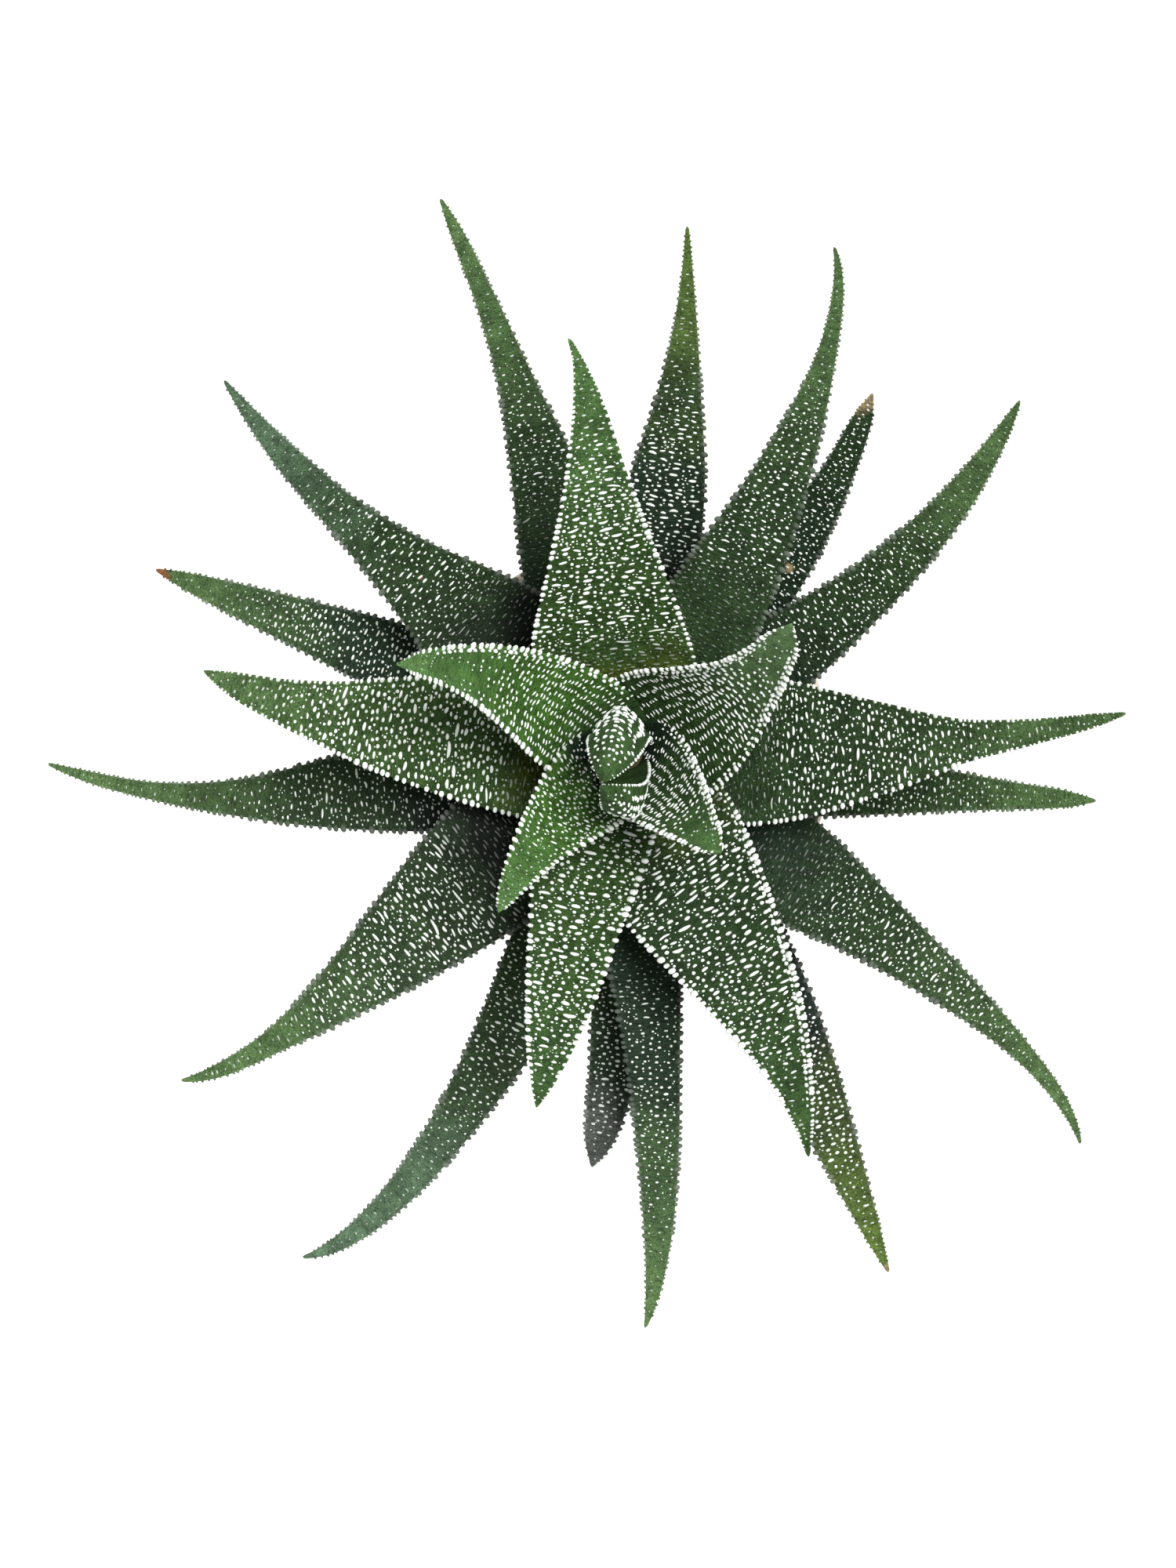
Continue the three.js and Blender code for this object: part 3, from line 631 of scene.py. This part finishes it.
def barred_studs(shape, pattern, under, rng):
    """Cross-bars in uneven lengthwise rows, small and close at the root, thinning out to the tip."""
    rows = []
    lanes = np.linspace(-1, 1, pattern.columns) * (1 - 1 / pattern.columns) * LANE_SHARE
    for lane in lanes:
        forth = FIRST * shape.length * rng.uniform(0.3, 1)
        while forth < shape.length * LAST:
            along = forth / shape.length
            half = float(shape.width(along)) / 2
            ripe, fresh = (float(f) for f in fades(pattern, along))
            grown = lerp(BARRED.root_size, 1, float(smooth(*BAR_GROWTH, along)))
            room = half * LANE_SHARE / pattern.columns - BAR_APART
            radius = pattern.radius * grown * rng.uniform(*BARRED.sizes) * lerp(BARRED.tip_size, 1, fresh)
            radius = min(radius, room)
            reach = max(0, min(pattern.stretch * grown, room - radius)) * rng.uniform(0.4, 1.3)
            side = lane * half + rng.normal(0, BAR_STRAY)
            white = lerp(BARRED.root_white, 1, ripe) * lerp(BARRED.tip_white, 1, fresh)
            white *= rng.uniform(*BARRED.whites)
            if radius > SMALLEST and rng.random() < BAR_COUNT * lerp(BARRED.tip_count, 1, fresh):
                reach *= lerp(BARRED.tip_stretch, 1, fresh)
                turn, bend = rng.normal(0, BARRED.turn), rng.normal(0, BARRED.bend)
                rows.append((along, side, under, radius, reach, white, turn, bend))
            forth += pattern.pitch * grown * rng.uniform(0.8, 1.3) * lerp(BARRED.tip_gap, 1, fresh)
    return fields_of(rows)


def banded_studs(shape, rng):
    """White bars set in bands across the underside."""
    rows = []
    forth = FIRST * shape.length
    while forth < LAST * shape.length:
        reach = float(shape.width(forth / shape.length)) / 2 - BARE_MARGIN - BAND_END
        for side in np.arange(-reach, reach, BAND_STUD) + rng.uniform(0, 0.5):
            along = min((forth + rng.normal(0, BAND_STRAY[0])) / shape.length, LAST)
            radius, stretch = rng.uniform(*BAND_RADIUS), rng.uniform(*BAND_STRETCH)
            side += rng.normal(0, BAND_STRAY[1])
            white = rng.uniform(0.8, 1)
            turn, bend = rng.normal(0, 7), rng.normal(0, 0.15)
            rows.append((along, side, 1, radius, stretch, white, turn, bend))
        forth += BAND * rng.uniform(0.85, 1.15)
    return fields_of(rows)


def face_studs(shape, rng):
    """The studs of a leaf: on both faces, or only outside on a folded bud leaf."""
    pattern = shape.leaf.studs
    if shape.leaf.group == "bud":
        return barred_studs(shape, pattern, 1, rng)
    barred = isinstance(pattern, Bars)
    top = barred_studs(shape, pattern, 0, rng) if barred else thrown_studs(shape, pattern, rng)
    below = banded_studs(shape, rng)
    return {k: np.concatenate([top[k], below[k]]) for k in FIELDS}


def stud_template():
    """A low rounded body of unit radius, turned from its top down."""
    rings = [(math.sin(polar), math.cos(polar)) for polar in np.radians(STUD_RINGS)]
    return turned([(0, 1), *rings, (0, -STUD_FOOT)], STUD_SIDES, inside_out=True)


def domes(studs, here, normal, side, ahead, height):
    """One closed dome for each stud, drawn out along side and sunk into what carries it."""
    stud = stud_template()
    count = len(stud.points)
    flat_x, flat_y, rise = stud.points.T
    radius, stretch = studs["radius"][:, None], studs["stretch"][:, None]
    turn = np.radians(studs["turn"])[:, None]
    across = side * np.cos(turn) + ahead * np.sin(turn)
    along = ahead * np.cos(turn) - side * np.sin(turn)
    blunt = np.sign(flat_x) * np.sqrt(np.abs(flat_x))
    x = flat_x * (radius + (1 - BLUNTNESS) * stretch) + blunt * BLUNTNESS * stretch
    y = flat_y * radius + studs["bend"][:, None] * x * x / (radius + stretch)
    z = (rise - SUNK) * height[:, None]
    points = here[:, None] + x[..., None] * across[:, None] + y[..., None] * along[:, None]
    points = points + z[..., None] * normal[:, None]
    offset = (np.arange(len(here)) * count)[:, None, None]
    marks = {
        "along": np.repeat(studs["along"], count),
        "side": np.repeat(studs["side"], count),
        # painted shade: a stud is less white towards its foot
        "white": (studs["white"][:, None] * np.where(rise < 0, RIM_WHITE, 1)).ravel(),
    }
    quads, tris = (stud.quads + offset).reshape(-1, 4), (stud.tris + offset).reshape(-1, 3)
    return Mesh(points.reshape(-1, 3), quads, tris, marks)


def merged(parts):
    """Several meshes as one."""
    counts = np.cumsum([0] + [len(p.points) for p in parts[:-1]])
    return Mesh(
        np.concatenate([p.points for p in parts]),
        np.concatenate([p.quads + n for p, n in zip(parts, counts)]),
        np.concatenate([p.tris + n for p, n in zip(parts, counts)]),
        {k: np.concatenate([p.marks[k] for p in parts]) for k in parts[0].marks},
    )


def free_domes(studs, frames, height, own, others):
    """Domes for those studs that stand clear of the other leaves."""
    free = clear_of(frames[0], own, others)
    studs = {k: v[free] for k, v in studs.items()}
    return domes(studs, *(f[free] for f in frames), height[free])


def stud_domes(shape, studs, own, others):
    half = shape.width(studs["along"]) / 2
    frames = shape.frames(studs["along"], studs["side"] / half, studs["under"].astype(bool))
    return free_domes(studs, frames, studs["radius"] + STUD_LEAST, own, others)


def margin_domes(shape, own, others, rng):
    """The teeth: beads along both margins, with a second row inside them on some."""
    beads = shape.leaf.beads
    rows = []
    for hand, doubled in zip((-1, 1), beads.doubled):
        for inner, end in ((0, LAST), (1, doubled)):
            forth = FIRST * shape.length + rng.uniform(0, beads.pitch)
            while forth < end * shape.length:
                along = forth / shape.length
                half = float(shape.width(along)) / 2
                small = min(1, TOOTHED.tip_size + half / 4) * (SECOND_SIZE if inner else 1)
                grow = lerp(TOOTHED.root_size, 1, float(smooth(FIRST, TOOTH_GROWN, along)))
                radius = beads.radius * small * grow * rng.uniform(*TOOTHED.sizes)
                side = hand * (half - (SECOND_INSET * beads.radius if inner else 0))
                pale = lerp(1, TOOTHED.tip_white, float(smooth(TEETH_PALE, 1, along)))
                white = rng.uniform(*TOOTHED.whites) * beads.white * pale
                stretch = radius * rng.uniform(0, 0.4)
                turn = hand * TOOTH_TURN * (1 - inner) + rng.normal(0, TOOTHED.turn)
                rows.append((along, side, hand * (1 - inner), radius, stretch, white, turn, 0))
                forth += beads.pitch * min(1, 0.6 + half / 8) * rng.uniform(0.65, 1.35)
    studs = fields_of(rows)
    outer = studs["under"][:, None]
    half = shape.width(studs["along"]) / 2
    here, normal, _, _ = shape.frames(studs["along"], studs["side"] / half, np.zeros(len(half), bool))
    s = shape.sections(studs["along"])
    outward = unit(s.left * outer + s.up * TOOTH_LIFT)
    normal = np.where(outer != 0, outward, normal)
    forward = unit(s.forward - normal * np.sum(s.forward * normal, -1, keepdims=True))
    sideways = unit(np.cross(normal, forward))
    here = here - np.abs(outer) * normal * studs["radius"][:, None] * TOOTH_SINK
    return free_domes(studs, (here, normal, forward, sideways), studs["radius"] * beads.rise, own, others)


# ---- materials ----


class Nodes:
    """Short ways to build the nodes of a material or of the world."""

    def __init__(self, owner, shader="Principled BSDF"):
        owner.use_nodes = True
        self.owner = owner
        self.tree = owner.node_tree
        self.shader = self.tree.nodes[shader]
        self.place = self.node("TexCoord", "Object")

    def put(self, socket, value):
        """Gives a socket a value, a palette colour by its name, or another node's output."""
        if isinstance(value, bpy.types.NodeSocket):
            self.tree.links.new(value, socket)
        else:
            socket.default_value = linear(value) if isinstance(value, str) else value

    def node(self, kind, output, inputs=(), **settings):
        """Makes a node with these settings and (socket, value) inputs, and gives one of its outputs."""
        made = self.tree.nodes.new("ShaderNode" + kind)
        for name, value in settings.items():
            setattr(made, name, value)
        for socket, value in inputs:
            self.put(made.inputs[socket], value)
        return made.outputs[output]

    def noise(self, size, detail=2.0, rough=0.5, stretch=(1, 1, 1), seed=0.0, place=None):
        """Noise whose lumps are about size millimetres, drawn out by stretch."""
        scale = [(1 if place else 1 / MM) / (size * s) for s in stretch]
        where = self.node("Mapping", "Vector", [
            ("Vector", place or self.place), ("Scale", scale), ("Location", (seed, seed, seed))])
        return self.node("TexNoise", "Fac", [
            ("Vector", where), ("Scale", 1), ("Detail", detail), ("Roughness", rough)])

    def mark(self, name):
        """The number that the mesh keeps under this name."""
        return self.node("Attribute", "Fac", attribute_name=name)

    def ramp(self, value, stops):
        """A colour ramp from (position, colour) pairs."""
        colours = self.node("ValToRGB", "Color", [("Fac", value)])
        elements = colours.node.color_ramp.elements
        while len(elements) < len(stops):
            elements.new(0.5)
        for element, (position, colour) in zip(elements, stops):
            element.position = position
            element.color = colour
        return colours

    def span(self, value, low, high, new_low=0.0, new_high=1.0):
        """Carries a value from one range over to another, and holds it within that."""
        return self.node("MapRange", "Result", enumerate((value, low, high, new_low, new_high)))

    def math(self, operation, a, b):
        return self.node("Math", "Value", enumerate((a, b)), operation=operation)

    def mix(self, share, a, b, blend="MIX"):
        inputs = [("Factor", share), ("A", a), ("B", b)]
        return self.node("Mix", "Result", inputs, data_type="RGBA", blend_type=blend)

    def over(self, colour, other, value, low, high, most=1.0):
        """Lays another colour over this one where a value goes from low to high."""
        return self.mix(self.span(value, low, high, 0, most), colour, other)

    def bump(self, height, depth, strength):
        """Adds relief to the shader's normal. Depth is millimetres."""
        inputs = [("Height", height), ("Distance", depth * MM), ("Strength", strength)]
        normal = self.shader.inputs["Normal"]
        if normal.is_linked:
            inputs.append(("Normal", normal.links[0].from_socket))
        self.put(normal, self.node("Bump", "Normal", inputs))

    def finish(self, colour, roughness, shine, **sockets):
        """Sets the shader, and gives the material."""
        sockets.update({"Base_Color": colour, "Roughness": roughness, "Specular_IOR_Level": shine})
        for name, value in sockets.items():
            self.put(self.shader.inputs[name.replace("_", " ")], value)
        return self.owner


def nodes_of(name):
    return Nodes(bpy.data.materials.new(name))


# Shares of the length where a leaf's tones stand: at its root, twice along its body, at its tip. The dark
# root of the old and mature leaves is partly their own colour and partly painted shade, where younger leaves
# cover them near the stem.
DARK_SHADED_ROOT = (0.24, 0.46, 0.54, 0.9)
PALE_ROOT = (0.12, 0.25, 0.46, 0.9)


def grey(level):
    return (level, level, level, 1)


def leaf_material(shape, seed):
    """Green skin, toned from root to tip and finely wrinkled across, with pearly studs. Painted shade
    darkens the wrinkles' grooves, and in part the roots of the old and mature leaves.
    """
    leaf = shape.leaf
    n = nodes_of(leaf.name + "_skin")
    base, body, tip = (linear(tone) for tone in leaf.tones.split())
    # the old and mature leaves keep their dark root further out: partly their own colour, partly painted
    # shade
    places = DARK_SHADED_ROOT if leaf.group in ("old", "mature") else PALE_ROOT
    stops = list(zip(places, (base, body, body, tip)))
    if leaf.dry:
        stops[-1] = (1 - 1.6 * leaf.dry[1], tip)
        stops.append((1 - 0.7 * leaf.dry[1], linear(leaf.dry[0])))
    drift = n.noise(7, seed=seed)
    along = n.mark("along")
    colour = n.ramp(n.math("ADD", along, n.span(drift, 0.3, 0.7, -0.06, 0.06)), stops)
    mottle = n.noise(2.2, detail=3, seed=seed)
    colour = n.over(colour, n.mix(1.0, colour, grey(0.6), "MULTIPLY"), mottle, 0.35, 0.65)
    forth = n.math("MULTIPLY", along, shape.length)
    on_leaf = n.node("CombineXYZ", "Vector", [("X", n.mark("side")), ("Y", forth)])
    wrinkle = n.noise(0.42, stretch=(2.4, 1, 1), seed=seed, place=on_leaf)
    grain = n.noise(0.17, detail=1, seed=seed)
    # painted shade: the grooves of the wrinkles darkened towards night
    colour = n.over(colour, "night", wrinkle, 0.48, 0.3, 0.5)
    colour = n.over(colour, n.mix(1.0, colour, grey(1.8), "MULTIPLY"), grain, 0.5, 0.74, 0.8)
    colour = n.over(colour, "night", grain, 0.48, 0.28, 0.6)
    if leaf.spot:
        tone, share, left, radius = leaf.spot
        ends = enumerate((on_leaf, (left, share * shape.length, 0)))
        away = n.node("VectorMath", "Value", ends, operation="DISTANCE")
        ragged = n.math("ADD", away, n.span(mottle, 0.3, 0.7, -0.4 * radius, 0.4 * radius))
        colour = n.over(colour, tone, ragged, radius, 0.6 * radius)
    pearl = n.over("pearl", "pearl_shade", n.noise(0.9), 0.35, 0.7)
    colour = n.over(colour, pearl, n.mark("white"), 0.12, 0.6)
    n.bump(wrinkle, 0.2, 0.9)
    n.bump(grain, 0.05, 0.8)
    return n.finish(colour, n.span(grain, 0.3, 0.7, 0.46, 0.64), shine=0.12)


def clay_material():
    """Pale fired clay: softly mottled, with throwing lines, fine pores and a few iron specks."""
    n = nodes_of("pale_clay")
    cloud = n.noise(14, detail=3)
    colour = n.over("clay", "clay_pale", cloud, 0.35, 0.7)
    lines = n.noise(1.6, detail=3, stretch=(14, 14, 1))
    colour = n.over(colour, "clay_dark", lines, 0.52, 0.75, 0.3)
    pores = n.noise(0.3, detail=3, rough=0.7)
    colour = n.over(colour, "clay_dark", pores, 0.4, 0.25, 0.4)
    colour = n.over(colour, "speck", n.noise(0.7, detail=1, seed=5), 0.7, 0.76)
    n.bump(pores, 0.1, 0.6)
    n.bump(lines, 0.16, 0.5)
    return n.finish(colour, n.span(cloud, 0.3, 0.7, 0.7, 0.86), shine=0.3)


def soil_material():
    """Dark mix with paler fibres, and grit where the crumbs are marked as stone."""
    n = nodes_of("potting_mix_crumb")
    lump = n.noise(1.6, detail=4, rough=0.65)
    colour = n.over("peat", "peat_pale", lump, 0.4, 0.72)
    stone = n.over("grit", "husk", n.noise(0.5, detail=3), 0.35, 0.7)
    colour = n.mix(n.mark("stone"), colour, stone)
    n.bump(n.noise(0.4, detail=4, rough=0.7), 0.3, 0.9)
    return n.finish(colour, 0.95, shine=0.2)


def stem_material():
    """Brown-green bark between the leaf bases."""
    n = nodes_of("stem_bark")
    ring = n.noise(1.2, detail=3, stretch=(5, 5, 1))
    colour = n.over("bark", "bark_dark", ring, 0.35, 0.68)
    n.bump(ring, 0.4, 0.8)
    return n.finish(colour, n.span(ring, 0.3, 0.7, 0.7, 0.9), shine=0.3)


def floor_material():
    n = nodes_of("studio_floor")
    colour = n.mix(n.noise(300, detail=1), "floor", grey(0.9))
    return n.finish(colour, 0.9, shine=0.1, Emission_Color=colour, Emission_Strength=FLOOR_GLOW)


# ---- pot, mix and stem ----

POT_SIDES = 144
DRAIN_SIDES = 32
ROUND_POINTS = 6
FEW, MANY = 6, 14  # rings on the short and on the long walls of the pot
SOIL_SIDES = 120
SOIL_RINGS = 32
SOIL_WALL_RINGS = 8
LUMPS = ((3.1, 0.4, 0.0), (1.5, 0.28, 1.7), (0.8, 0.15, 4.1))  # size, depth and phase of each
CRUMBS = 620
CRUMB_CORNERS = 5
CRUMB_RINGS = ((-0.55, 0.75), (0.1, 1.05), (0.6, 0.6))  # height and width of a crumb's rings
STONES = 0.22  # share of the crumbs that are stone, and those are larger
STONE_SIZE = 1.25
STEM_SIDES = 48
STEM_ROWS = 60
SCAR_DEPTH = 0.12
SCAR_TURN = 4.3  # radians of the scars' wave to a millimetre of stem
STEM_INSET = 0.14


def arc(radius, height, size, start, end):
    """Points of a rounding about (radius, height), between two angles in degrees."""
    angles = np.radians(np.linspace(start, end, ROUND_POINTS))
    return [(radius + size * math.cos(a), height + size * math.sin(a)) for a in angles]


def inner_radius(height):
    return lerp(POT_FOOT_RADIUS - WALL, POT_WAIST_RADIUS, (height - FLOOR) / (POT_HEIGHT - FLOOR))


def outline(groups, counts):
    """A profile through groups of points, with so many more rings on the way from group to group."""
    profile = [*groups[0]]
    for group, count in zip(groups[1:], counts):
        (radius, height), (next_radius, next_height) = profile[-1], group[0]
        for t in np.linspace(0, 1, count + 2)[1:-1]:
            profile.append((lerp(radius, next_radius, t), lerp(height, next_height, t)))
        profile += group
    return profile


def make_pot():
    """The pot from its foot up the outside, over the lip and down the inside, and its drain holes."""
    r = EDGE_ROUND
    band = POT_HEIGHT - RIM_HEIGHT
    groups = [
        [(0, 0)],
        arc(POT_FOOT_RADIUS - r, r, r, -90, 0),
        [(POT_WAIST_RADIUS, band)],
        arc(RIM_RADIUS - r, band + r, r, -90, 0),
        arc(RIM_RADIUS - r, POT_HEIGHT - r, r, 0, 90),
        arc(inner_radius(POT_HEIGHT) + r, POT_HEIGHT - r, r, 90, 180),
        [(inner_radius(FLOOR), FLOOR)],
        [(0, FLOOR)],
    ]
    profile = outline(groups, (FEW, MANY, 0, FEW, 0, MANY, FEW))
    pot = object_of("clay_pot", turned(profile, POT_SIDES), clay_material())
    drill_profile = [(0, -FLOOR), (DRAIN_RADIUS, -FLOOR), (DRAIN_RADIUS, 2 * FLOOR), (0, 2 * FLOOR)]
    for k in range(DRAIN_COUNT):
        drill_mesh = turned(drill_profile, DRAIN_SIDES)
        drill_mesh.points += around(math.radians(360 * k / DRAIN_COUNT), DRAIN_CIRCLE, 0)
        drill = object_of("drill", drill_mesh, pot.data.materials[0])
        cut = pot.modifiers.new("drain", "BOOLEAN")
        cut.operation = "DIFFERENCE"
        cut.solver = "EXACT"
        cut.object = drill
        bpy.context.view_layer.update()
        cut_mesh = bpy.data.meshes.new_from_object(pot.evaluated_get(bpy.context.evaluated_depsgraph_get()))
        pot.modifiers.clear()
        pot.data = cut_mesh
        bpy.data.objects.remove(drill)
    pot.data.name = "clay_pot"
    stand_for(pot, "pot")


def soil_height(x, y):
    """The mix's surface: a low mound, with lumps of three sizes."""
    far = np.hypot(x, y) / inner_radius(SOIL_LEVEL)
    lumps = 0
    for size, depth, phase in LUMPS:
        lumps = lumps + depth * np.sin(x / size * 2.1 + phase) * np.sin(y / size * 1.9 + 2 * phase)
    return SOIL_LEVEL + SOIL_MOUND * (1 - far) + lumps * (1 - 0.6 * far ** 4)


def crumb_meshes(rng):
    """Angular crumbs and grit lying on the mix, each a small closed rock."""
    parts = []
    for _ in range(CRUMBS):
        far = math.sqrt(rng.uniform(0.09, 0.92)) * inner_radius(SOIL_LEVEL)
        turn = rng.uniform(0, 2 * math.pi)
        stone = rng.random() < STONES
        size = rng.uniform(0.3, 0.75) * (STONE_SIZE if stone else 1)
        x, y = far * math.cos(turn), far * math.sin(turn)
        centre = np.array([x, y, float(soil_height(x, y)) + 0.1 * size])
        turns = np.linspace(0, 2 * math.pi, CRUMB_CORNERS, endpoint=False) + rng.uniform(0, 2)
        rings = []
        for height, wide in CRUMB_RINGS:
            reach = wide * rng.uniform(0.72, 1.25, CRUMB_CORNERS)
            rings.append(around(turns, reach, height + rng.uniform(-0.15, 0.15, CRUMB_CORNERS)))
        points = np.concatenate([*rings, [[0, 0, -0.85], [0.1, 0, 0.85]]])
        spin, _ = np.linalg.qr(rng.uniform(-0.5, 0.5, (3, 3)) + np.eye(3))
        points = points @ spin.T * size * rng.uniform(0.7, 1.15, 3) + centre
        marks = {"stone": np.full(len(points), float(stone))}
        parts.append(closed_mesh(points, CRUMB_CORNERS, marks, inside_out=np.linalg.det(spin) < 0))
    return parts


def make_soil(rng):
    bottom = FLOOR + GAP
    widest = inner_radius(SOIL_LEVEL) - GAP
    socket = STEM_RADIUS + GAP
    corners = [(0, bottom), (inner_radius(bottom) - GAP, bottom), (widest, SOIL_LEVEL),
               (socket, SOIL_LEVEL), (socket, STEM_BOTTOM - GAP), (0, STEM_BOTTOM - GAP)]
    profile = outline([[corner] for corner in corners], (0, SOIL_WALL_RINGS, SOIL_RINGS, 0, 0))
    body = turned(profile, SOIL_SIDES)
    x, y, height = body.points.T
    surface = (height == SOIL_LEVEL) & (np.hypot(x, y) < widest - 0.01)
    body.points[surface, 2] = soil_height(x[surface], y[surface])
    body.marks["stone"] = np.zeros(len(body.points))
    whole = merged([body, *crumb_meshes(rng)])
    soil = object_of("potting_mix_bed", whole, soil_material(), flat=True)
    stand_for(soil, "potting_mix")


def make_stem():
    """The stem, ringed by the scars of fallen leaves."""
    profile = [(0, STEM_BOTTOM)]
    for h in np.linspace(STEM_BOTTOM, STEM_TOP, STEM_ROWS):
        scar = SCAR_DEPTH * math.sin(h * SCAR_TURN) if h > SOIL_LEVEL else 0
        profile.append((float(stem_radius(h)) - STEM_INSET + scar, h))
    profile.append((0, STEM_TOP + STEM_POINT))
    stem = object_of("bare_stem", turned(profile, STEM_SIDES), stem_material())
    stand_for(stem, "stem")


# ---- the plant ----

LEAF_SEED, SOIL_SEED = 100, 7


def make_leaves():
    """The leaves from the youngest out, each tucked under the younger ones, then studded."""
    shapes = [Shape(leaf) for leaf in LEAVES]
    meshes, trees = {}, {}
    for age in reversed(range(len(LEAVES))):
        meshes[age], hearts = blade_mesh(shapes[age])
        tuck_under(meshes[age], hearts, trees.values())
        trees[age] = tree_of(meshes[age])
    boxes = {k: (m.points.min(0) - STUD_CLEARANCE, m.points.max(0) + STUD_CLEARANCE)
             for k, m in meshes.items()}
    for age, (leaf, shape) in enumerate(zip(LEAVES, shapes)):
        rng = np.random.default_rng(LEAF_SEED + age)
        others = [(*boxes[k], trees[k]) for k in trees if k != age]
        studs = stud_domes(shape, face_studs(shape, rng), trees[age], others)
        whole = merged([meshes[age], studs, margin_domes(shape, trees[age], others, rng)])
        piece = object_of("studded_" + leaf.name, whole, leaf_material(shape, float(age)))
        stand_for(piece, leaf.name)


# ---- stage ----

CAMERA = (-4.4, -3.7, 575)  # straight above, a little off the stem's axis
LENS = 95.0  # on a 36 mm sensor along the picture's long side
FLOOR_SIZE = 6000
FLOOR_DROP = 0.02  # keeps the floor just clear of the pot's foot
FLOOR_GLOW = 0.74  # the floor shines a little, as a white sweep lit from all round does
ROOM = 0.5
WALL_GLOW = 1.2  # the room is white round the horizon,
WALL_TOP = (0.12, 0.3)  # and dims between these heights, as the sine of the elevation
KEY = 3.7
KEY_ANGLE = 28
KEY_FROM = (38, 70)  # bearing and height of the key light, in degrees


def make_stage():
    camera = bpy.data.objects.new("camera", bpy.data.cameras.new("camera"))
    camera.data.lens = LENS
    camera.data.clip_start = 0.01
    camera.location = Vector(CAMERA) * MM
    bpy.context.scene.collection.objects.link(camera)
    bpy.context.scene.camera = camera
    corners = np.array([(-1, -1, 0), (1, -1, 0), (1, 1, 0), (-1, 1, 0)]) * FLOOR_SIZE / 2
    plane = Mesh(corners - [0, 0, FLOOR_DROP], np.array([[0, 1, 2, 3]]), np.zeros((0, 3), int))
    object_of("floor", plane, floor_material(), flat=True)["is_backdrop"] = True


def make_light():
    """An even white room, and one broad light from the upper right that the floor doesn't receive."""
    scene = bpy.context.scene
    scene.world = bpy.data.worlds.new("studio")
    n = Nodes(scene.world, "Background")
    way = n.node("TexCoord", "Generated")
    elevation = n.node("SeparateXYZ", "Z", [("Vector", way)])
    n.put(n.shader.inputs["Color"], grey(1.0))
    n.put(n.shader.inputs["Strength"], n.span(elevation, *WALL_TOP, WALL_GLOW, ROOM))
    key = bpy.data.objects.new("key", bpy.data.lights.new("key", "SUN"))
    key.data.energy = KEY
    key.data.angle = math.radians(KEY_ANGLE)
    key.rotation_mode = "QUATERNION"
    key.rotation_quaternion = Vector(heading(*KEY_FROM)).to_track_quat("Z", "Y")
    scene.collection.objects.link(key)
    lit = bpy.data.collections.new("lit_by_key")
    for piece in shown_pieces():
        lit.objects.link(piece)
    key.light_linking.receiver_collection = lit
    scene.view_settings.view_transform = "Standard"
    scene.view_settings.look = "None"


make_stage()
make_leaves()
make_pot()
make_soil(np.random.default_rng(SOIL_SEED))
make_stem()
make_light()
